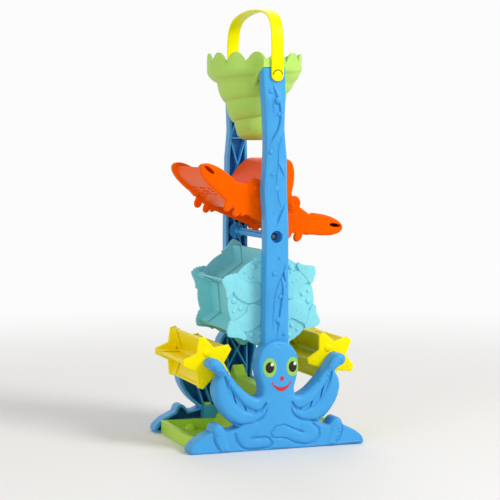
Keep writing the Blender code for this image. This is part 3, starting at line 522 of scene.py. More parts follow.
prints = {
    "eye_lime": (EYE_LIME, eye_pair(*EYE), 1),
    "pupil_black": (PUPIL_BLACK, eye_pair(*PUPIL), 2),
    "glint_white": (GLINT_WHITE, eye_pair(*GLINT), 3),
    "mouth_red": (MOUTH_RED, [smile(), oval(*NOSE), *dimples()], 1),
}
for ink, (colour, outlines, layer) in prints.items():
    look = moulded_plastic(ink, colour, roughness=0.42, grain=0.05)
    for end, turn in ENDS:
        shape = joined(bmesh.new(), *[printed(outline, layer * FILM) for outline in outlines])
        settle(moved(shape, turn), f"{end}_{ink}", "frame", look, None)


# Cross rod and screws
# A moulded rod of plus section ties the towers together. A zinc-plated pan-head screw with a cross recess
# goes in from each side, at the bottom of a deep round hole. Its steel is coloured dark as painted shade of
# that hole.

# Steel far darker than zinc plating: painted shade of the deep hole the screw sits in.
SHADED_STEEL_GREY = (0.16, 0.17, 0.19)
ROD_HEIGHT = 0.2070
SCREW_SEAT = 0.0569
SCREW_HEAD = 0.0036
SCREW_CROWN = 0.0020
CROWN_SHARE = 0.9
SCREW_GAP = 0.0001
SCREW_SHANK = 0.0016
SCREW_TIP = 0.0462
RECESS_LENGTH = 0.0036
RECESS_WIDTH = 0.0008
RECESS_DEPTH = 0.0013


def lathed(profile, place, steps=48):
    """A round piece from (radius, depth) points along its axis, -Y outwards, moved to its place."""
    shape = bmesh.new()
    points = [shape.verts.new((radius, depth, 0)) for radius, depth in profile]
    edges = [shape.edges.new(pair) for pair in zip(points, points[1:])]
    bmesh.ops.spin(
        shape, geom=points + edges, cent=(0, 0, 0), axis=(0, 1, 0), angle=math.tau, steps=steps,
        use_merge=True,
    )
    bmesh.ops.remove_doubles(shape, verts=shape.verts, dist=1e-7)
    return moved(outward(shape), place)


def arc(angle, steps):
    """Equal steps from nought to an angle."""
    return [angle * step / steps for step in range(steps + 1)]


def evaluated(holder):
    """What an object in the scene comes to with its modifiers or its bevel, as a bmesh."""
    graph = bpy.context.evaluated_depsgraph_get()
    shape = bmesh.new()
    shape.from_mesh(holder.evaluated_get(graph).to_mesh())
    return shape


def carved(shape, cutter):
    """A shape with the cutter taken out of it."""
    holders = [placed("carving", mesh_of(item, "carving")) for item in (shape, cutter)]
    cut = holders[0].modifiers.new("cut", "BOOLEAN")
    cut.object = holders[1]
    result = evaluated(holders[0])
    for holder in holders:
        bpy.data.objects.remove(holder)
    return result


def rod_screw():
    """A screw with a domed head, facing -Y."""
    top = -SCREW_SEAT - SCREW_CROWN
    profile = [
        (SCREW_HEAD * math.sin(turn), top + SCREW_CROWN * (1 - math.cos(turn)) * CROWN_SHARE)
        for turn in arc(math.pi / 2, 8)
    ]
    profile += [(radius, -SCREW_SEAT - SCREW_GAP) for radius in (SCREW_HEAD, SCREW_SHANK)]
    profile += [(SCREW_SHANK, -SCREW_TIP - SCREW_SHANK), (0, -SCREW_TIP)]
    head = lathed(profile, Matrix.Translation((0, 0, ROD_HEIGHT)))
    half = RECESS_LENGTH / 2
    thin = RECESS_WIDTH / 2
    for x, z in ((half, thin), (thin, half)):
        low = (-x, top - RECESS_DEPTH, ROD_HEIGHT - z)
        head = carved(head, bar(low, (x, top + RECESS_DEPTH, ROD_HEIGHT + z)))
    return head


settle(merged("cross_rod"), "cross_rod_moulding", "frame", tower_blue, "blue_plastic", "cross_rod")
# Dark steel for the screw heads, standing in for the shade at the bottom of their holes.
shaded_screw_steel = moulded_plastic("shaded_screw_steel", SHADED_STEEL_GREY, roughness=0.30, grain=0.04)
shaded_screw_steel.node_tree.nodes["Principled BSDF"].inputs["Metallic"].default_value = 1
for end, turn in ENDS:
    node = f"rod_screw_{end}"
    settle(moved(rod_screw(), turn), f"{node}_head", "frame", shaded_screw_steel, "steel", node)


# Funnel
# A lime polypropylene moulding like a spiral shell, with four whorls under a scalloped rim and a row of dents
# along each whorl. A hooded lug on each side sits on a tower's sloping top.

FUNNEL_LIME = (0.460, 0.740, 0.130)
WAIST_RADIUS = 0.0370
WAIST = 0.3570
RIM_RADIUS = 0.0474
SLOPE = 0.44
FUNNEL_FOOT = 0.3050
FUNNEL_RIM = 0.3738
FUNNEL_BOTTOM = 0.3005
FUNNEL_ROUND = 0.0120
OUTLET = 0.0062
FUNNEL_WALL = 0.0020
PITCH = 0.0200
WHORL_START = math.radians(161)
WHORL_NOTCH = 0.3180
WHORL_BULGE = 0.0025
WHORL_FORM = 2.6
WHORL_ROWS = 14
FADE_START = 0.3640
SCALLOPS = 14
LOBE_COLUMNS = 14
COLUMNS = LOBE_COLUMNS * SCALLOPS
LOBE_SHIFT = 5 / LOBE_COLUMNS
SCALLOP_RISE = 0.0120
SCALLOP_ROWS = 8
LOBE_POWER = 0.62
LOBE_BASE = 0.00005
BOTTOM_ROUND = 0.0010
DENTS = 7
DENT_RADIUS = 0.0026
DENT_DEPTH = 0.0007
DENT_PHASE = 0.42
# What lies further out than this at the waist, and further still above it, is a lug
LUG_CLEAR = 0.0406
LUG_SLOPE = 0.35
LUG_LOW = 0.3460
LUG_CUTS = 8
# The wall that closes a lug behind the lobes: its ends along X, its faces along Y and its heights
LUG_SPAN = (0.0136, -0.0080)
LUG_STOP = (0.0459, 0.0475)
LUG_STOP_LOW = 0.3690
LUG_STOP_HIGH = 0.3785


def cone_radius(z):
    """The shell's radius without its whorls: a cone up to the waist, then a bowl that ends upright."""
    if z < WAIST:
        return WAIST_RADIUS + SLOPE * (z - WAIST)
    climb = min(1, (z - WAIST) / (FUNNEL_RIM - WAIST))
    return WAIST_RADIUS + (RIM_RADIUS - WAIST_RADIUS) * math.sin(climb * math.pi / 2)


def dent(turn, phase, radius):
    """Depth of the nearest dent on a whorl."""
    across = (turn * DENTS % 1 - 0.5) / DENTS * math.tau * radius
    gap = math.hypot(across, (phase - DENT_PHASE) * PITCH) / DENT_RADIUS
    return DENT_DEPTH * (1 - gap * gap) ** 2 if gap < 1 else 0


def whorl_radius(turn, z):
    """The shell's radius with its whorls and dents, at a share of a turn and a height."""
    phase = ((z - WHORL_NOTCH) / PITCH - turn + WHORL_START / math.tau) % 1.0
    fade = min(max((z - FADE_START) / (FUNNEL_RIM - FADE_START), 0), 1)
    radius = cone_radius(z) + (1 - fade) * WHORL_BULGE * WHORL_FORM * (1 - phase) * math.sqrt(phase)
    return radius - (1 - fade) * dent(turn, phase, radius)


def spiral_shell():
    """The funnel's outer skin, from the outlet up to the lobes of the rim."""
    rows = WHORL_ROWS * math.ceil((FUNNEL_RIM - FUNNEL_FOOT) / PITCH + 2)
    shape = bmesh.new()
    bmesh.ops.create_grid(shape, x_segments=COLUMNS, y_segments=rows, size=0.5)
    for vert in shape.verts:
        turn = vert.co.x + 0.5
        row = (vert.co.y + 0.5) * rows - 2 * WHORL_ROWS
        height = WHORL_NOTCH + PITCH * (row / WHORL_ROWS + turn - WHORL_START / math.tau)
        z = min(max(height, FUNNEL_FOOT), FUNNEL_RIM)
        radius = whorl_radius(turn, z)
        angle = turn * math.tau
        vert.co = (radius * math.cos(angle), radius * math.sin(angle), z)
    bmesh.ops.remove_doubles(shape, verts=shape.verts, dist=1e-5)
    bmesh.ops.dissolve_degenerate(shape, edges=shape.edges, dist=1e-5)
    for _ in range(SCALLOP_ROWS):
        for vert in grown(shape, [edge for edge in open_edges(shape) if edge.verts[0].co.z > WAIST]):
            turn = math.atan2(vert.co.y, vert.co.x) / math.tau * SCALLOPS - LOBE_SHIFT
            lobe = math.sin(math.pi * (turn % 1)) ** LOBE_POWER
            vert.co.z += SCALLOP_RISE * lobe / SCALLOP_ROWS + LOBE_BASE
    for radius, z in ((FUNNEL_ROUND, FUNNEL_BOTTOM + BOTTOM_ROUND), (OUTLET + FUNNEL_WALL, FUNNEL_BOTTOM)):
        for vert in grown(shape, [edge for edge in open_edges(shape) if edge.verts[0].co.z < WAIST]):
            flat = Vector((vert.co.x, vert.co.y, 0)).normalized() * radius
            vert.co = (flat.x, flat.y, z)
    return outward(shape)


funnel_lime = moulded_plastic("funnel_lime", FUNNEL_LIME, roughness=0.42)
funnel = settle(spiral_shell(), "funnel_shell", "frame", funnel_lime, "lime_plastic", "funnel", crease=50)
wall = funnel.modifiers.new("wall", "SOLIDIFY")
wall.thickness = FUNNEL_WALL
wall.offset = -1


def stripped(node, gone):
    """A CAD node's mesh without the faces whose middles pass a test."""
    shape = merged(node)
    faces = [face for face in shape.faces if gone(face.calc_center_median())]
    bmesh.ops.delete(shape, geom=faces, context="FACES")
    return shape


def of_shell(middle):
    """Whether a point of the CAD funnel belongs to its shell and not to a lug."""
    return middle.z < LUG_LOW or math.hypot(*middle.xy) < LUG_CLEAR + LUG_SLOPE * (middle.z - WAIST)


lugs = stripped("funnel", of_shell)
bmesh.ops.subdivide_edges(lugs, edges=open_edges(lugs), cuts=LUG_CUTS)
roots = grown(lugs, open_edges(lugs))
for vert in lugs.verts:
    turn = math.atan2(vert.co.y, vert.co.x) / math.tau % 1.0
    middle_wall = whorl_radius(turn, vert.co.z) - FUNNEL_WALL / 2
    if vert in roots or vert.co.xy.length < middle_wall:
        vert.co.y = math.copysign(math.sqrt(middle_wall ** 2 - vert.co.x ** 2), vert.co.y)
for side in (-1, 1):
    left, right = sorted(side * x for x in LUG_SPAN)
    near, far = sorted(side * y for y in LUG_STOP)
    joined(lugs, bar((left, near, LUG_STOP_LOW), (right, far, LUG_STOP_HIGH)))
settle(lugs, "funnel_lugs", "frame", funnel_lime, "lime_plastic")


# Carry handle
# A flat strap of soft yellow polyethylene, moulded as a bow over the funnel. Each leg ends in a round eye
# with a stud behind it, which snaps into a hole near the tower's top and lets the handle swing down.

HANDLE_YELLOW = (1.0, 0.87, 0.0)
YELLOW_GLEAM = (1.0, 0.90, 0.35)
HANDLE_HEIGHT = 0.3630
STRAP_OUTER = 0.0677
STRAP_HALF = 0.0063
STRAP_ROUND = 0.0012
STUD_RING = 0.0042
RING_RISE = 0.0004
RING_EDGE = 0.0006
STUD_CLEAR = 0.0005
# The strap's outer line from a leg to the top: distance in from the leg, and rise over the stud
STRAP_BEND = (
    (0, 0), (0, 0.0150), (0, 0.0290), (0.0013, 0.0420), (0.0056, 0.0525), (0.0136, 0.0592), (0.0275, 0.0636),
    (0.0470, 0.0661),
)
STRAP_TOP = 0.0670


def drawn(knots, closed=False, **form):
    """A smooth curve through knots of place, thickness and a mark on a corner, as a bmesh."""
    curve = bpy.data.curves.new("drawn", "CURVE")
    for name, value in form.items():
        setattr(curve, name, value)
    spline = curve.splines.new("BEZIER")
    spline.bezier_points.add(len(knots) - 1)
    spline.use_cyclic_u = closed
    for knot, (place, thickness, corner) in zip(spline.bezier_points, knots):
        knot.co = place
        knot.radius = thickness
        knot.handle_left_type = knot.handle_right_type = "VECTOR" if corner else "AUTO"
    holder = placed("drawn", curve)
    shape = evaluated(holder)
    bpy.data.objects.remove(holder)
    bmesh.ops.remove_doubles(shape, verts=shape.verts, dist=1e-6)
    return shape


def strap():
    """The bent strap with full round edges, between its two studs."""
    middle = STRAP_OUTER - STRAP_ROUND
    half = [(-middle + inset, rise - STRAP_ROUND if inset else rise) for inset, rise in STRAP_BEND]
    line = [*half, (0, STRAP_TOP - STRAP_ROUND), *[(-y, z) for y, z in reversed(half)]]
    shape = drawn(
        [((y, z, 0), 1, False) for y, z in line], dimensions="3D", twist_mode="Z_UP", fill_mode="FULL",
        use_fill_caps=True, extrude=STRAP_HALF - STRAP_ROUND, bevel_depth=STRAP_ROUND, bevel_resolution=3,
        resolution_u=10,
    )
    upright = Matrix(((0, 0, 1, 0), (1, 0, 0, 0), (0, 1, 0, HANDLE_HEIGHT), (0, 0, 0, 1)))
    return moved(shape, upright)


def strap_end(side):
    """The round end of a leg with a faint ring where the stud sits inside."""
    face = -STRAP_OUTER
    profile = [(0, face - RING_RISE), (STUD_RING - RING_EDGE, face - RING_RISE), (STUD_RING, face)]
    flat = STRAP_HALF - STRAP_ROUND
    middle = face + STRAP_ROUND
    profile += [
        (flat + STRAP_ROUND * math.sin(turn), middle - STRAP_ROUND * math.cos(turn))
        for turn in arc(math.pi, 8)
    ]
    profile += [(0, middle + STRAP_ROUND)]
    return lathed(profile, Matrix.Translation((0, 0, HANDLE_HEIGHT)) @ Matrix.Rotation(side, 4, "Z"))


handle_yellow = moulded_plastic(
    "handle_yellow", HANDLE_YELLOW, roughness=0.38, shade=0.95, specular=0.2, gleam=YELLOW_GLEAM
)
handle_shape = joined(strap(), strap_end(0), strap_end(math.pi))


def of_strap(middle):
    """Whether a point of the CAD handle belongs to its strap and not to a stud."""
    return abs(middle.y) > COLUMN_FACE + STUD_CLEAR or middle.z > HANDLE_HEIGHT + STRAP_HALF


studs = stripped("carry_handle", of_strap)
settle(joined(handle_shape, studs), "handle_strap", "handle", handle_yellow, "yellow_plastic", "carry_handle")


# Tipping crab
# Two thick crab-shaped plates of orange polypropylene, with puffed claws and ringed eyes, are welded to a
# tray with two sieve scoops. The tray rocks on a bar through its middle and spills to either side.

CRAB_ORANGE = (1.0, 0.115, 0.0)
ORANGE_GLEAM = (1.0, 0.45, 0.18)
PIVOT = 0.2404
TILT = math.radians(23)
CRAB_FRONT = 0.0500
CRAB_BACK = 0.0457
CRAB_ROUND = 0.0016
BOSS = 0.0060
BOSS_BORE = 0.0028
BOSS_END = 0.0517
CLAW_FRONT = 0.0505
CLAW_BACK = 0.0405
CLAW_ROUND = 0.0030
EYE_MIDDLE = (0.0207, 0.0058)
EYE_SCALE = 1.2
SLIT_MIDDLE = (0.0710, 0.0042)
SLIT_HALF = (0.0062, 0.0020)
SLIT_DEPTH = 0.0070
SLIT_TURN = math.radians(14)
MOUTH_ROUND = 0.0005
STEM_END = 0.45
# Right half of the plate in millimetres round the pivot, from the belly up to the ridge. A corner is marked
CRAB_HALF = (
    (19, -21.4, "corner"), (23, -24.2), (25.3, -22, "corner"), (25.6, -25), (28.8, -27.5), (32, -25),
    (32.4, -20, "corner"), (35.4, -19, "corner"), (35.8, -23.6), (39.2, -26.2), (42.6, -23.8),
    (43.4, -16.2, "corner"), (53.3, -13.1), (64.5, -9.4), (74.5, -4.3), (79.4, 1), (80, 4.6), (77.2, 8),
    (70.5, 10), (61.2, 10), (51.5, 8.2), (41, 4.2, "corner"), (29.7, 6.8, "corner"), (28.2, 12), (22.2, 15.3),
    (18.2, 14), (16.8, 15.5, "corner"), (14.6, 26.4), (11.7, 34.5), (8.7, 39.9), (4.5, 44), (0, 45),
)
CLAW = (
    (43.6, -15.6), (53.3, -13.3), (64.5, -9.6), (74.5, -4.5), (79.6, 1), (80.2, 4.6), (77.2, 8.2),
    (70.5, 10.2), (61.2, 10.2), (51.5, 8.4), (43.2, 5), (41.4, -5),
)
# Rings of an eye: radius and height over the plate
EYE_RINGS = (
    (0, 0.0026), (0.0014, 0.0025), (0.0024, 0.0021), (0.0027, 0.0013), (0.0031, 0.0013), (0.0034, 0.0017),
    (0.0042, 0.0015), (0.0048, 0.0010), (0.0051, 0.0004), (0.0055, 0.0004), (0.0058, 0.0008),
    (0.0064, 0.0005), (0.0068, -0.0006), (0, -0.0006),
)
MOUTH_LINE = ((-16.3, -10.1), (-9.7, -14.4), (-3.5, -17.2), (3.5, -17.2), (9.7, -14.4), (16.3, -10.1))


def slab(knots, near, far, rounding, steps=6):
    """A plate between two depths along Y, with round edges, from knots of x, z and a mark on a corner."""
    shape = drawn(
        [((x, z, 0), 1, corner) for x, z, *corner in knots], True, dimensions="2D", fill_mode="BOTH",
        resolution_u=steps, extrude=abs(far - near) / 2 - rounding, bevel_depth=rounding, bevel_resolution=3,
        offset=-rounding,
    )
    place = Matrix.Translation((0, (near + far) / 2, 0)) @ Matrix.Rotation(math.pi / 2, 4, "X")
    return moved(shape, place)


def stem(points, y, radius):
    """A raised line on a wall: a smooth tapered tube through (x, z) points, half sunk."""
    thick = [STEM_END, *[1] * (len(points) - 2), STEM_END]
    return drawn(
        [((x, y, z), share, False) for (x, z), share in zip(points, thick)], dimensions="3D",
        bevel_depth=radius, bevel_resolution=2, resolution_u=8, use_fill_caps=True,
    )


def millimetres(points, side=1):
    """Points in metres from points in millimetres, mirrored for the left side."""
    return [(0.001 * side * x, 0.001 * z, *rest) for x, z, *rest in points]


def claw_slit(side):
    """The long hollow between a claw's pincers, as a cutter."""
    place = Matrix.Translation((side * SLIT_MIDDLE[0], -CLAW_FRONT, SLIT_MIDDLE[1]))
    place = place @ Matrix.Rotation(-side * SLIT_TURN, 4, "Y")
    place = place @ Matrix.Diagonal((SLIT_HALF[0], SLIT_DEPTH, SLIT_HALF[1], 1))
    return lathed([(math.sin(turn), -math.cos(turn)) for turn in arc(math.pi, 12)], place)


def bored_boss(radius, face):
    """The ring that turns against the tower, with the axle's bore."""
    ring = [(BOSS_BORE, -face), (BOSS_BORE, -BOSS_END), (radius, -BOSS_END), (radius, -face)]
    return lathed([*ring, ring[0]], Matrix.Identity(4))


def crab_plate():
    """The front plate with its claws, eyes and mouth, round the pivot."""
    right = millimetres(CRAB_HALF)
    left = [(-x, z, *corner) for x, z, *corner in reversed(right) if x > 0]
    plate = slab(right + left, -CRAB_FRONT, -CRAB_BACK, CRAB_ROUND)
    for side in (-1, 1):
        plate = carved(plate, claw_slit(side))
        claw = carved(slab(millimetres(CLAW, side), -CLAW_FRONT, -CLAW_BACK, CLAW_ROUND), claw_slit(side))
        eye = lathed(
            [(EYE_SCALE * radius, -CRAB_FRONT - height) for radius, height in EYE_RINGS],
            Matrix.Translation((side * EYE_MIDDLE[0], 0, EYE_MIDDLE[1])),
        )
        joined(plate, claw, eye)
    return joined(
        plate, bored_boss(BOSS, CRAB_BACK), stem(millimetres(MOUTH_LINE), -CRAB_FRONT, MOUTH_ROUND)
    )


crab_orange = moulded_plastic(
    "crab_orange", CRAB_ORANGE, roughness=0.36, shade=0.94, specular=0.06, gleam=ORANGE_GLEAM
)
tilted = Matrix.Translation((0, 0, PIVOT)) @ Matrix.Rotation(TILT, 4, "Y")
settle(merged("tipper_tray"), "tipper_tray_moulding", "tipper", crab_orange, "orange_plastic", "tipper_tray")
for end, turn in ENDS:
    node = f"crab_{end}_plate"
    plate = moved(crab_plate(), tilted @ turn)
    settle(plate, f"{node}_moulding", "tipper", crab_orange, "orange_plastic", node)


# Fish wheel
# An aqua polypropylene wheel of six buckets in two halves, whose paddles and drum slide into each other.
# A seahorse lies along each paddle on both plates: its head stands out past the rim, with bubbles between.

WHEEL_AQUA = (0.240, 0.700, 0.770)
WHEEL_HEIGHT = 0.1430
WHEEL_TURN = math.radians(35)
WHEEL_FACE = 0.0495
WHEEL_BACK = 0.0478
WHEEL_RIM = 45
WHEEL_BOSS = 0.0085
PLATE_ROUND = 0.0007
RIM_KNOTS = 24
PLATE_INSIDE = 0.0483
BODY_FACE = 0.0511
BODY_SUNK = 0.0490
BODY_ROUND = 0.0008
HEAD_FACE = 0.0516
HEAD_ROUND = 0.0005
SEAHORSES = 6
# A seahorse's head with its snout and ragged crest: degrees from the paddle and millimetres from the axis
HEAD = (
    (18.6, 44.4), (18, 46.9), (15, 47.4), (11.5, 48.4), (6, 52.3), (2.8, 55), (0.6, 56, "corner"),
    (-1.6, 54.5, "corner"), (-2.6, 55.2, "corner"), (-4.7, 53, "corner"), (-5.6, 53.5, "corner"),
    (-7.4, 50.8, "corner"), (-8.4, 51, "corner"), (-10.2, 48.2, "corner"), (-11.4, 48.3, "corner"),
    (-13.2, 45.2), (-11.5, 43.2), (-6, 42.3), (0, 41.6), (6, 41), (12, 41.4), (16, 42.4),
)
# Its body, with a ragged belly, from the throat to the curled tail by the hub and back
BODY_EDGE = (
    (9, 41.8), (12.5, 39.4, "corner"), (14.8, 38.9), (15.6, 36.6, "corner"), (18.6, 35.3),
    (19.6, 32.7, "corner"), (22.6, 31.4), (23.6, 28.8, "corner"), (26.6, 26.8), (28.6, 23), (26, 17),
    (13, 12), (-12, 11.6), (-26, 15), (-30.4, 20.4), (-28, 23.4), (-21.5, 26), (-14.5, 27.8),
    (-12.4, 31), (-11, 36), (-10.2, 40), (-9.8, 43.4), (0, 43.6),
)
# Rings round the body: millimetres from the axis, and degrees to its back and belly
RINGS = ((38.2, -8.5, 11.5), (33.6, -9.5, 16.5), (29, -10.5, 20.5), (24.2, -17, 22.5))
RING_BOW = 1.6
RING_ROUND = 0.0021
RING_SUNK = 0.0017
HEAD_EYE = (5.6, 48.4)
EYE_DOME = (0.0012, 0.0003)
WHEEL_BUBBLE_RISE = 0.55
# Bubbles between two seahorses: millimetres from the axis, degrees from the middle and radius
WHEEL_BUBBLES = ((39.8, 8.2, 1.9), (32.8, 5.8, 2.3), (38.7, -6.8, 2.7))


def polar(radius, angle):
    """A point at a radius in millimetres and an angle in radians."""
    return 0.001 * radius * math.cos(angle), 0.001 * radius * math.sin(angle)


def turned(edge, angle):
    """An outline given in degrees and millimetres, turned to a paddle."""
    return [(*polar(radius, angle + math.radians(degrees)), *corner) for degrees, radius, *corner in edge]


def seahorse(angle):
    """One seahorse in relief: body with rings, and head with an eye."""
    shape = slab(turned(BODY_EDGE, angle), -BODY_FACE, -BODY_SUNK, BODY_ROUND)
    joined(shape, slab(turned(HEAD, angle), -HEAD_FACE, -PLATE_INSIDE, HEAD_ROUND))
    for radius, back, belly in RINGS:
        bow = ((back, radius - RING_BOW), ((back + belly) / 2, radius), (belly, radius - RING_BOW))
        joined(shape, stem(turned(bow, angle), RING_SUNK - BODY_FACE, RING_ROUND))
    (x, z), = turned([HEAD_EYE], angle)
    dome(shape, x, -HEAD_FACE, z, *EYE_DOME)
    return shape


def seahorse_plate():
    """The front plate's dressing round the axis: rounded plate, seahorses and bubbles."""
    rim = [polar(WHEEL_RIM, step * math.tau / RIM_KNOTS) for step in range(RIM_KNOTS)]
    shape = slab(rim, -WHEEL_FACE, -WHEEL_BACK, PLATE_ROUND)
    joined(shape, bored_boss(WHEEL_BOSS, WHEEL_BACK))
    for number in range(SEAHORSES):
        middle = WHEEL_TURN + number * math.tau / SEAHORSES
        joined(shape, seahorse(middle))
        for radius, degrees, size in WHEEL_BUBBLES:
            x, z = polar(radius, middle + math.pi / SEAHORSES + math.radians(degrees))
            dome(shape, x, -WHEEL_FACE, z, 0.001 * size, 0.001 * WHEEL_BUBBLE_RISE * size)
    return shape


def wheel_half(node, dressing, end, place, inside):
    """A CAD half of a wheel, whose plain plate gives way to a dressed one, mirrored for the rear half."""
    if end == "rear":
        moved(dressing, Matrix.Diagonal((1, -1, 1, 1)))
        bmesh.ops.reverse_faces(dressing, faces=dressing.faces)
    half = stripped(node, lambda middle: abs(middle.y) > inside)
    return joined(half, moved(dressing, Matrix.Translation(place)))


wheel_aqua = moulded_plastic("wheel_aqua", WHEEL_AQUA, roughness=0.42)
for end in ("front", "rear"):
    node = f"fish_wheel_{end}_half"
    shape = wheel_half(node, seahorse_plate(), end, (0, 0, WHEEL_HEIGHT), PLATE_INSIDE)
    settle(shape, f"{node}_moulding", "fish_wheel", wheel_aqua, "aqua_plastic", node)


# Stars
# Two yellow polypropylene wheels like starfish, each of two halves, turn between the octopuses' arms. The
# plate of a half is thick and rounded, with a dot on each arm and a dome at the root of one, and the front
# half's paddles end in a fat round lip.

STAR_YELLOW = (1.0, 0.80, 0.0)
STAR_OFFSET = 0.0642
STAR_HEIGHT = 0.0850
STAR_FRONT = 0.0502
STAR_BACK = 0.0462
STAR_INSIDE = 0.0467
STAR_BOSS = 0.0054
STAR_ROUND = 0.0016
STAR_ARMS = 5
STAR_TIP = 26.4
STAR_NOTCH = 15.6
STAR_BLUNT = math.radians(6.5)
STAR_TURNS = (("left", -1, math.radians(34.5)), ("right", 1, math.radians(43)))
DOME_ARM = 1
DOME = (10.2, 0.0038, 0.0014)
TIP_DOT = (19.8, 0.0010, 0.0005)
LIP_PLACE = 23.6
LIP_RADIUS = 0.0017
LIP_START = 0.0480
LIP_SPLIT = 0.0310
LIP_EDGE = 0.0008


def star_plate(turn, end):
    """The front plate's dressing round the axis: rounded star, domes, dots and the paddles' lips."""
    knots = []
    arms = [turn + number * math.tau / STAR_ARMS for number in range(STAR_ARMS)]
    for middle in arms:
        knots += [(*polar(STAR_TIP, middle + end_turn), "corner") for end_turn in (-STAR_BLUNT, STAR_BLUNT)]
        knots.append((*polar(STAR_NOTCH, middle + math.pi / STAR_ARMS), "corner"))
    shape = slab(knots, -STAR_FRONT, -STAR_BACK, STAR_ROUND)
    joined(shape, bored_boss(STAR_BOSS, STAR_BACK))
    for middle, (radius, size, height) in [(arms[DOME_ARM], DOME), *[(middle, TIP_DOT) for middle in arms]]:
        x, z = polar(radius, middle)
        dome(shape, x, -STAR_FRONT, z, size, height)
    lip = [(0, -LIP_START), (LIP_RADIUS, -LIP_START), (LIP_RADIUS, LIP_SPLIT - LIP_EDGE)]
    lip += [(LIP_RADIUS - LIP_EDGE, LIP_SPLIT), (0, LIP_SPLIT)]
    for middle in arms if end == "front" else ():
        x, z = polar(LIP_PLACE, middle)
        joined(shape, lathed(lip, Matrix.Translation((x, 0, z)), steps=20))
    return shape


star_yellow = moulded_plastic(
    "star_yellow", STAR_YELLOW, roughness=0.38, shade=0.95, specular=0.2, gleam=YELLOW_GLEAM
)
for side, sign, turn in STAR_TURNS:
    for end in ("front", "rear"):
        node = f"{side}_star_{end}_half"
        axis = (sign * STAR_OFFSET, 0, STAR_HEIGHT)
        shape = wheel_half(node, star_plate(turn, end), end, axis, STAR_INSIDE)
        settle(shape, f"{node}_moulding", f"{side}_star", star_yellow, "yellow_plastic", node)


# Axles
# Plain round bars of white acetal, one through each wheel and one through the crab. They turn with their
# wheels, and their ends run in blind holes of the towers.

AXLE_WHITE = (0.80, 0.80, 0.78)
axle_white = moulded_plastic("axle_white", AXLE_WHITE, roughness=0.42)
for body in ("tipper", "fish_wheel", "left_star", "right_star"):
    node = f"{body}_axle"
    settle(merged(node), f"{node}_bar", body, axle_white, "white_plastic", node)


# Base tray
# A lime polypropylene tray between the feet, hooked over the towers' shelves, with a hump that parts the
# sand. Its floor has a pebbled grain, and coral lies on the bank along each end.

TRAY_LIME = (0.500, 0.780, 0.070)
FLOOR_LEVEL = 0.0027
FLOOR_START = 0.0370
FLOOR_END = 0.0788
FLOOR_HALF = 0.0468
PEBBLE_PITCH = 0.0024
PEBBLE_RISE = 0.0003
SHEET_STEP = 0.0006
BANK_FOOT = 0.0600
BANK_TOP = 0.0122
BANK_POWER = 1.6
# How far the bank's foot swings, and how far along Y its wave takes for a radian
BANK_WAVE = (0.0022, 0.0075)
CORALS = 10
CORAL_SIZE = (0.0045, 0.0019, 0.0013)
CORAL_LINE = 0.0715
CORAL_FIRST = -0.0400
CORAL_PITCH = 0.0080
# How far the corals swing about their line, and by how many radians from one to the next
CORAL_WAVE = (0.0022, 1.9)
CORAL_LEANS = (math.radians(-30), math.radians(38))
CORAL_TILT = math.radians(-28)
CORAL_RISE = 0.0003
# The stone: place and size, its shares of the size along X, Y and Z, then the offset and share of each lump
STONE = (0.0560, 0.0405, 0.0062)
STONE_FORM = (1, 0.8, 0.95)
STONE_LUMPS = ((0, 0, 1), (-0.0068, 0.0010, 0.6))
STONE_RISE = 0.0010


def bank_level(x, y):
    """Height of the bank at the end of the tray, whose foot runs in waves."""
    swing, length = BANK_WAVE
    foot = BANK_FOOT + swing * math.sin(y / length)
    climb = min(max((x - foot) / (FLOOR_END - foot), 0), 1)
    return FLOOR_LEVEL + (BANK_TOP - FLOOR_LEVEL) * climb ** BANK_POWER


def tray_floor(side):
    """A sheet of pebbled floor and bank on one side of the hump."""
    shape = bmesh.new()
    across = FLOOR_END - FLOOR_START
    columns = int(across / SHEET_STEP)
    rows = int(2 * FLOOR_HALF / SHEET_STEP)
    bmesh.ops.create_grid(shape, x_segments=columns, y_segments=rows, size=0.5)
    for vert in shape.verts:
        x = FLOOR_START + (vert.co.x + 0.5) * across
        y = 2 * FLOOR_HALF * vert.co.y
        grain = math.sin(math.tau * x / PEBBLE_PITCH) * math.sin(math.tau * y / PEBBLE_PITCH)
        level = bank_level(x, y)
        if level < FLOOR_LEVEL + PEBBLE_RISE:
            level += PEBBLE_RISE * (1 + grain)
        vert.co = (side * x, y, level)
    outward(shape)
    if sum(face.normal.z for face in shape.faces) < 0:
        bmesh.ops.reverse_faces(shape, faces=shape.faces)
    for vert in grown(shape, open_edges(shape)):
        vert.co.z = FLOOR_LEVEL - SHEET_STEP
    bmesh.ops.edgeloop_fill(shape, edges=open_edges(shape))
    return outward(shape)


def coral(side):
    """A branch of coral along the bank, and a stone at the rear."""
    shape = bmesh.new()
    swing, step = CORAL_WAVE
    for number in range(CORALS):
        y = CORAL_FIRST + number * CORAL_PITCH
        x = CORAL_LINE + swing * math.sin(step * number)
        place = Matrix.Translation((side * x, y, bank_level(x, y) + CORAL_RISE))
        place = place @ Matrix.Rotation(CORAL_LEANS[number % 2], 4, "Z")
        place = place @ Matrix.Rotation(side * CORAL_TILT, 4, "Y") @ Matrix.Diagonal((*CORAL_SIZE, 1))
        bmesh.ops.create_uvsphere(shape, u_segments=20, v_segments=12, radius=1, matrix=place)
    x, y, size = STONE
    for dx, dy, share in STONE_LUMPS:
        place = Matrix.Translation((side * (x - dx), y + dy, FLOOR_LEVEL + STONE_RISE))
        place = place @ Matrix.Diagonal((*[part * share * size for part in STONE_FORM], 1))
        bmesh.ops.create_uvsphere(shape, u_segments=24, v_segments=16, radius=1, matrix=place)
    for vert in shape.verts:
        vert.co.z = max(vert.co.z, FLOOR_LEVEL - SHEET_STEP)
    return shape


tray_lime = moulded_plastic("tray_lime", TRAY_LIME, roughness=0.44)
tray_shape = joined(merged("base_tray"), *[make(side) for side in (-1, 1) for make in (tray_floor, coral)])
settle(tray_shape, "base_tray_moulding", "frame", tray_lime, "lime_plastic", "base_tray")


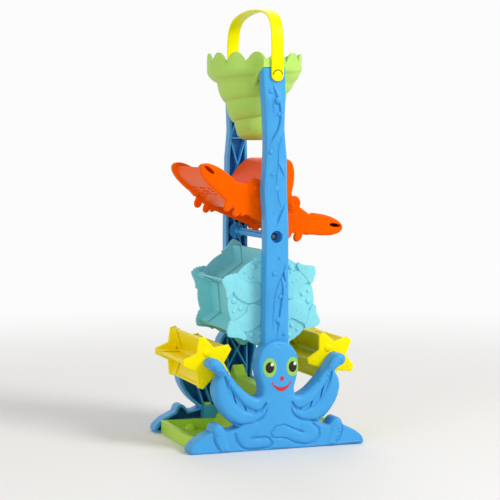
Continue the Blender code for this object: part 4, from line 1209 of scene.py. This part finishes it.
# Floor, light and camera
# A plain pale floor that fades into a white backdrop, under soft studio light from the front and the right.
# The camera looks from the left and a little above, as in the photograph.

FLOOR_PALE = (0.80, 0.79, 0.77)
BACKDROP = 0.97
FADE_FROM = 0.35
FADE_TO = 1.30
SKY = 0.52
FLOOR_ROUGH = 0.8
FLOOR_RADIUS = 14
# What the lamps face, then each lamp's name, place, width in metres and power in watts
LIT = (0, 0, 0.2)
LAMPS = (
    ("key", (1.05, -1.35, 1.35), 0.8, 28),
    ("left_fill", (-1.5, -1.0, 0.8), 1.0, 6),
    ("back", (0.3, 1.5, 1.6), 1.0, 8),
)
# The camera fitted to the photograph: its place, and how far it looks down and to the right
CAMERA_PLACE = (-0.5265, -1.4807, 0.2968)
CAMERA_DOWN = 3.884
CAMERA_RIGHT = 19.415

floor_shape = bmesh.new()
bmesh.ops.create_circle(floor_shape, cap_ends=True, segments=96, radius=FLOOR_RADIUS)
floor = placed("floor", mesh_of(floor_shape, "floor"))


def seen_ray(tree):
    """Tells the rays of the camera and of mirrors, which see the backdrop, from those that carry light."""
    path = wired(tree, "ShaderNodeLightPath", {}).outputs
    rays = {0: path["Is Camera Ray"], 1: path["Is Glossy Ray"]}
    return wired(tree, "ShaderNodeMath", rays, operation="MAXIMUM").outputs["Value"]


def pale_floor():
    """Matt floor near the object. Farther out the camera and mirrors see it as the white backdrop."""
    material = bpy.data.materials.new("pale_floor")
    material.use_nodes = True
    tree = material.node_tree
    matt = wired(tree, "Principled BSDF", {"Base Color": (*FLOOR_PALE, 1), "Roughness": FLOOR_ROUGH})
    glow = wired(tree, "ShaderNodeEmission", {"Strength": BACKDROP})
    place = wired(tree, "ShaderNodeTexCoord", {}).outputs["Object"]
    away = wired(tree, "ShaderNodeVectorMath", {0: place}, operation="LENGTH").outputs["Value"]
    reach = {"Value": away, "From Min": FADE_FROM, "From Max": FADE_TO}
    fade = wired(tree, "ShaderNodeMapRange", reach, interpolation_type="SMOOTHSTEP").outputs["Result"]
    share = wired(tree, "ShaderNodeMath", {0: fade, 1: seen_ray(tree)}, operation="MULTIPLY")
    looks = {"Fac": share.outputs["Value"], 1: matt.outputs["BSDF"], 2: glow.outputs["Emission"]}
    mix = wired(tree, "ShaderNodeMixShader", looks)
    wired(tree, "Material Output", {"Surface": mix.outputs["Shader"]})
    return material


floor.data.materials.append(pale_floor())


def soft_light(name, place, size, power):
    """A round soft lamp that faces the middle of the object."""
    lamp = bpy.data.lights.new(name, "AREA")
    lamp.shape = "DISK"
    lamp.size = size
    lamp.energy = power
    holder = placed(name, lamp)
    holder.location = place
    holder.rotation_euler = (Vector(LIT) - Vector(place)).to_track_quat("-Z", "Y").to_euler()


for lamp in LAMPS:
    soft_light(*lamp)

world = bpy.data.worlds.new("studio")
bpy.context.scene.world = world
world.use_nodes = True
sky_tree = world.node_tree
sky = wired(sky_tree, "Background", {"Color": (1, 1, 1, 1), "Strength": SKY})
shown = wired(sky_tree, "ShaderNodeBackground", {"Color": (1, 1, 1, 1), "Strength": BACKDROP})
skies = {"Fac": seen_ray(sky_tree), 1: sky.outputs["Background"], 2: shown.outputs["Background"]}
choice = wired(sky_tree, "ShaderNodeMixShader", skies)
wired(sky_tree, "World Output", {"Surface": choice.outputs["Shader"]})

lens = bpy.data.cameras.new("camera")
lens.lens = 112.5
lens.sensor_width = 36
camera = placed("camera", lens)
camera.location = CAMERA_PLACE
camera.rotation_euler = (math.radians(90 - CAMERA_DOWN), 0, math.radians(-CAMERA_RIGHT))
bpy.context.scene.camera = camera
bpy.context.scene.view_settings.view_transform = "Standard"
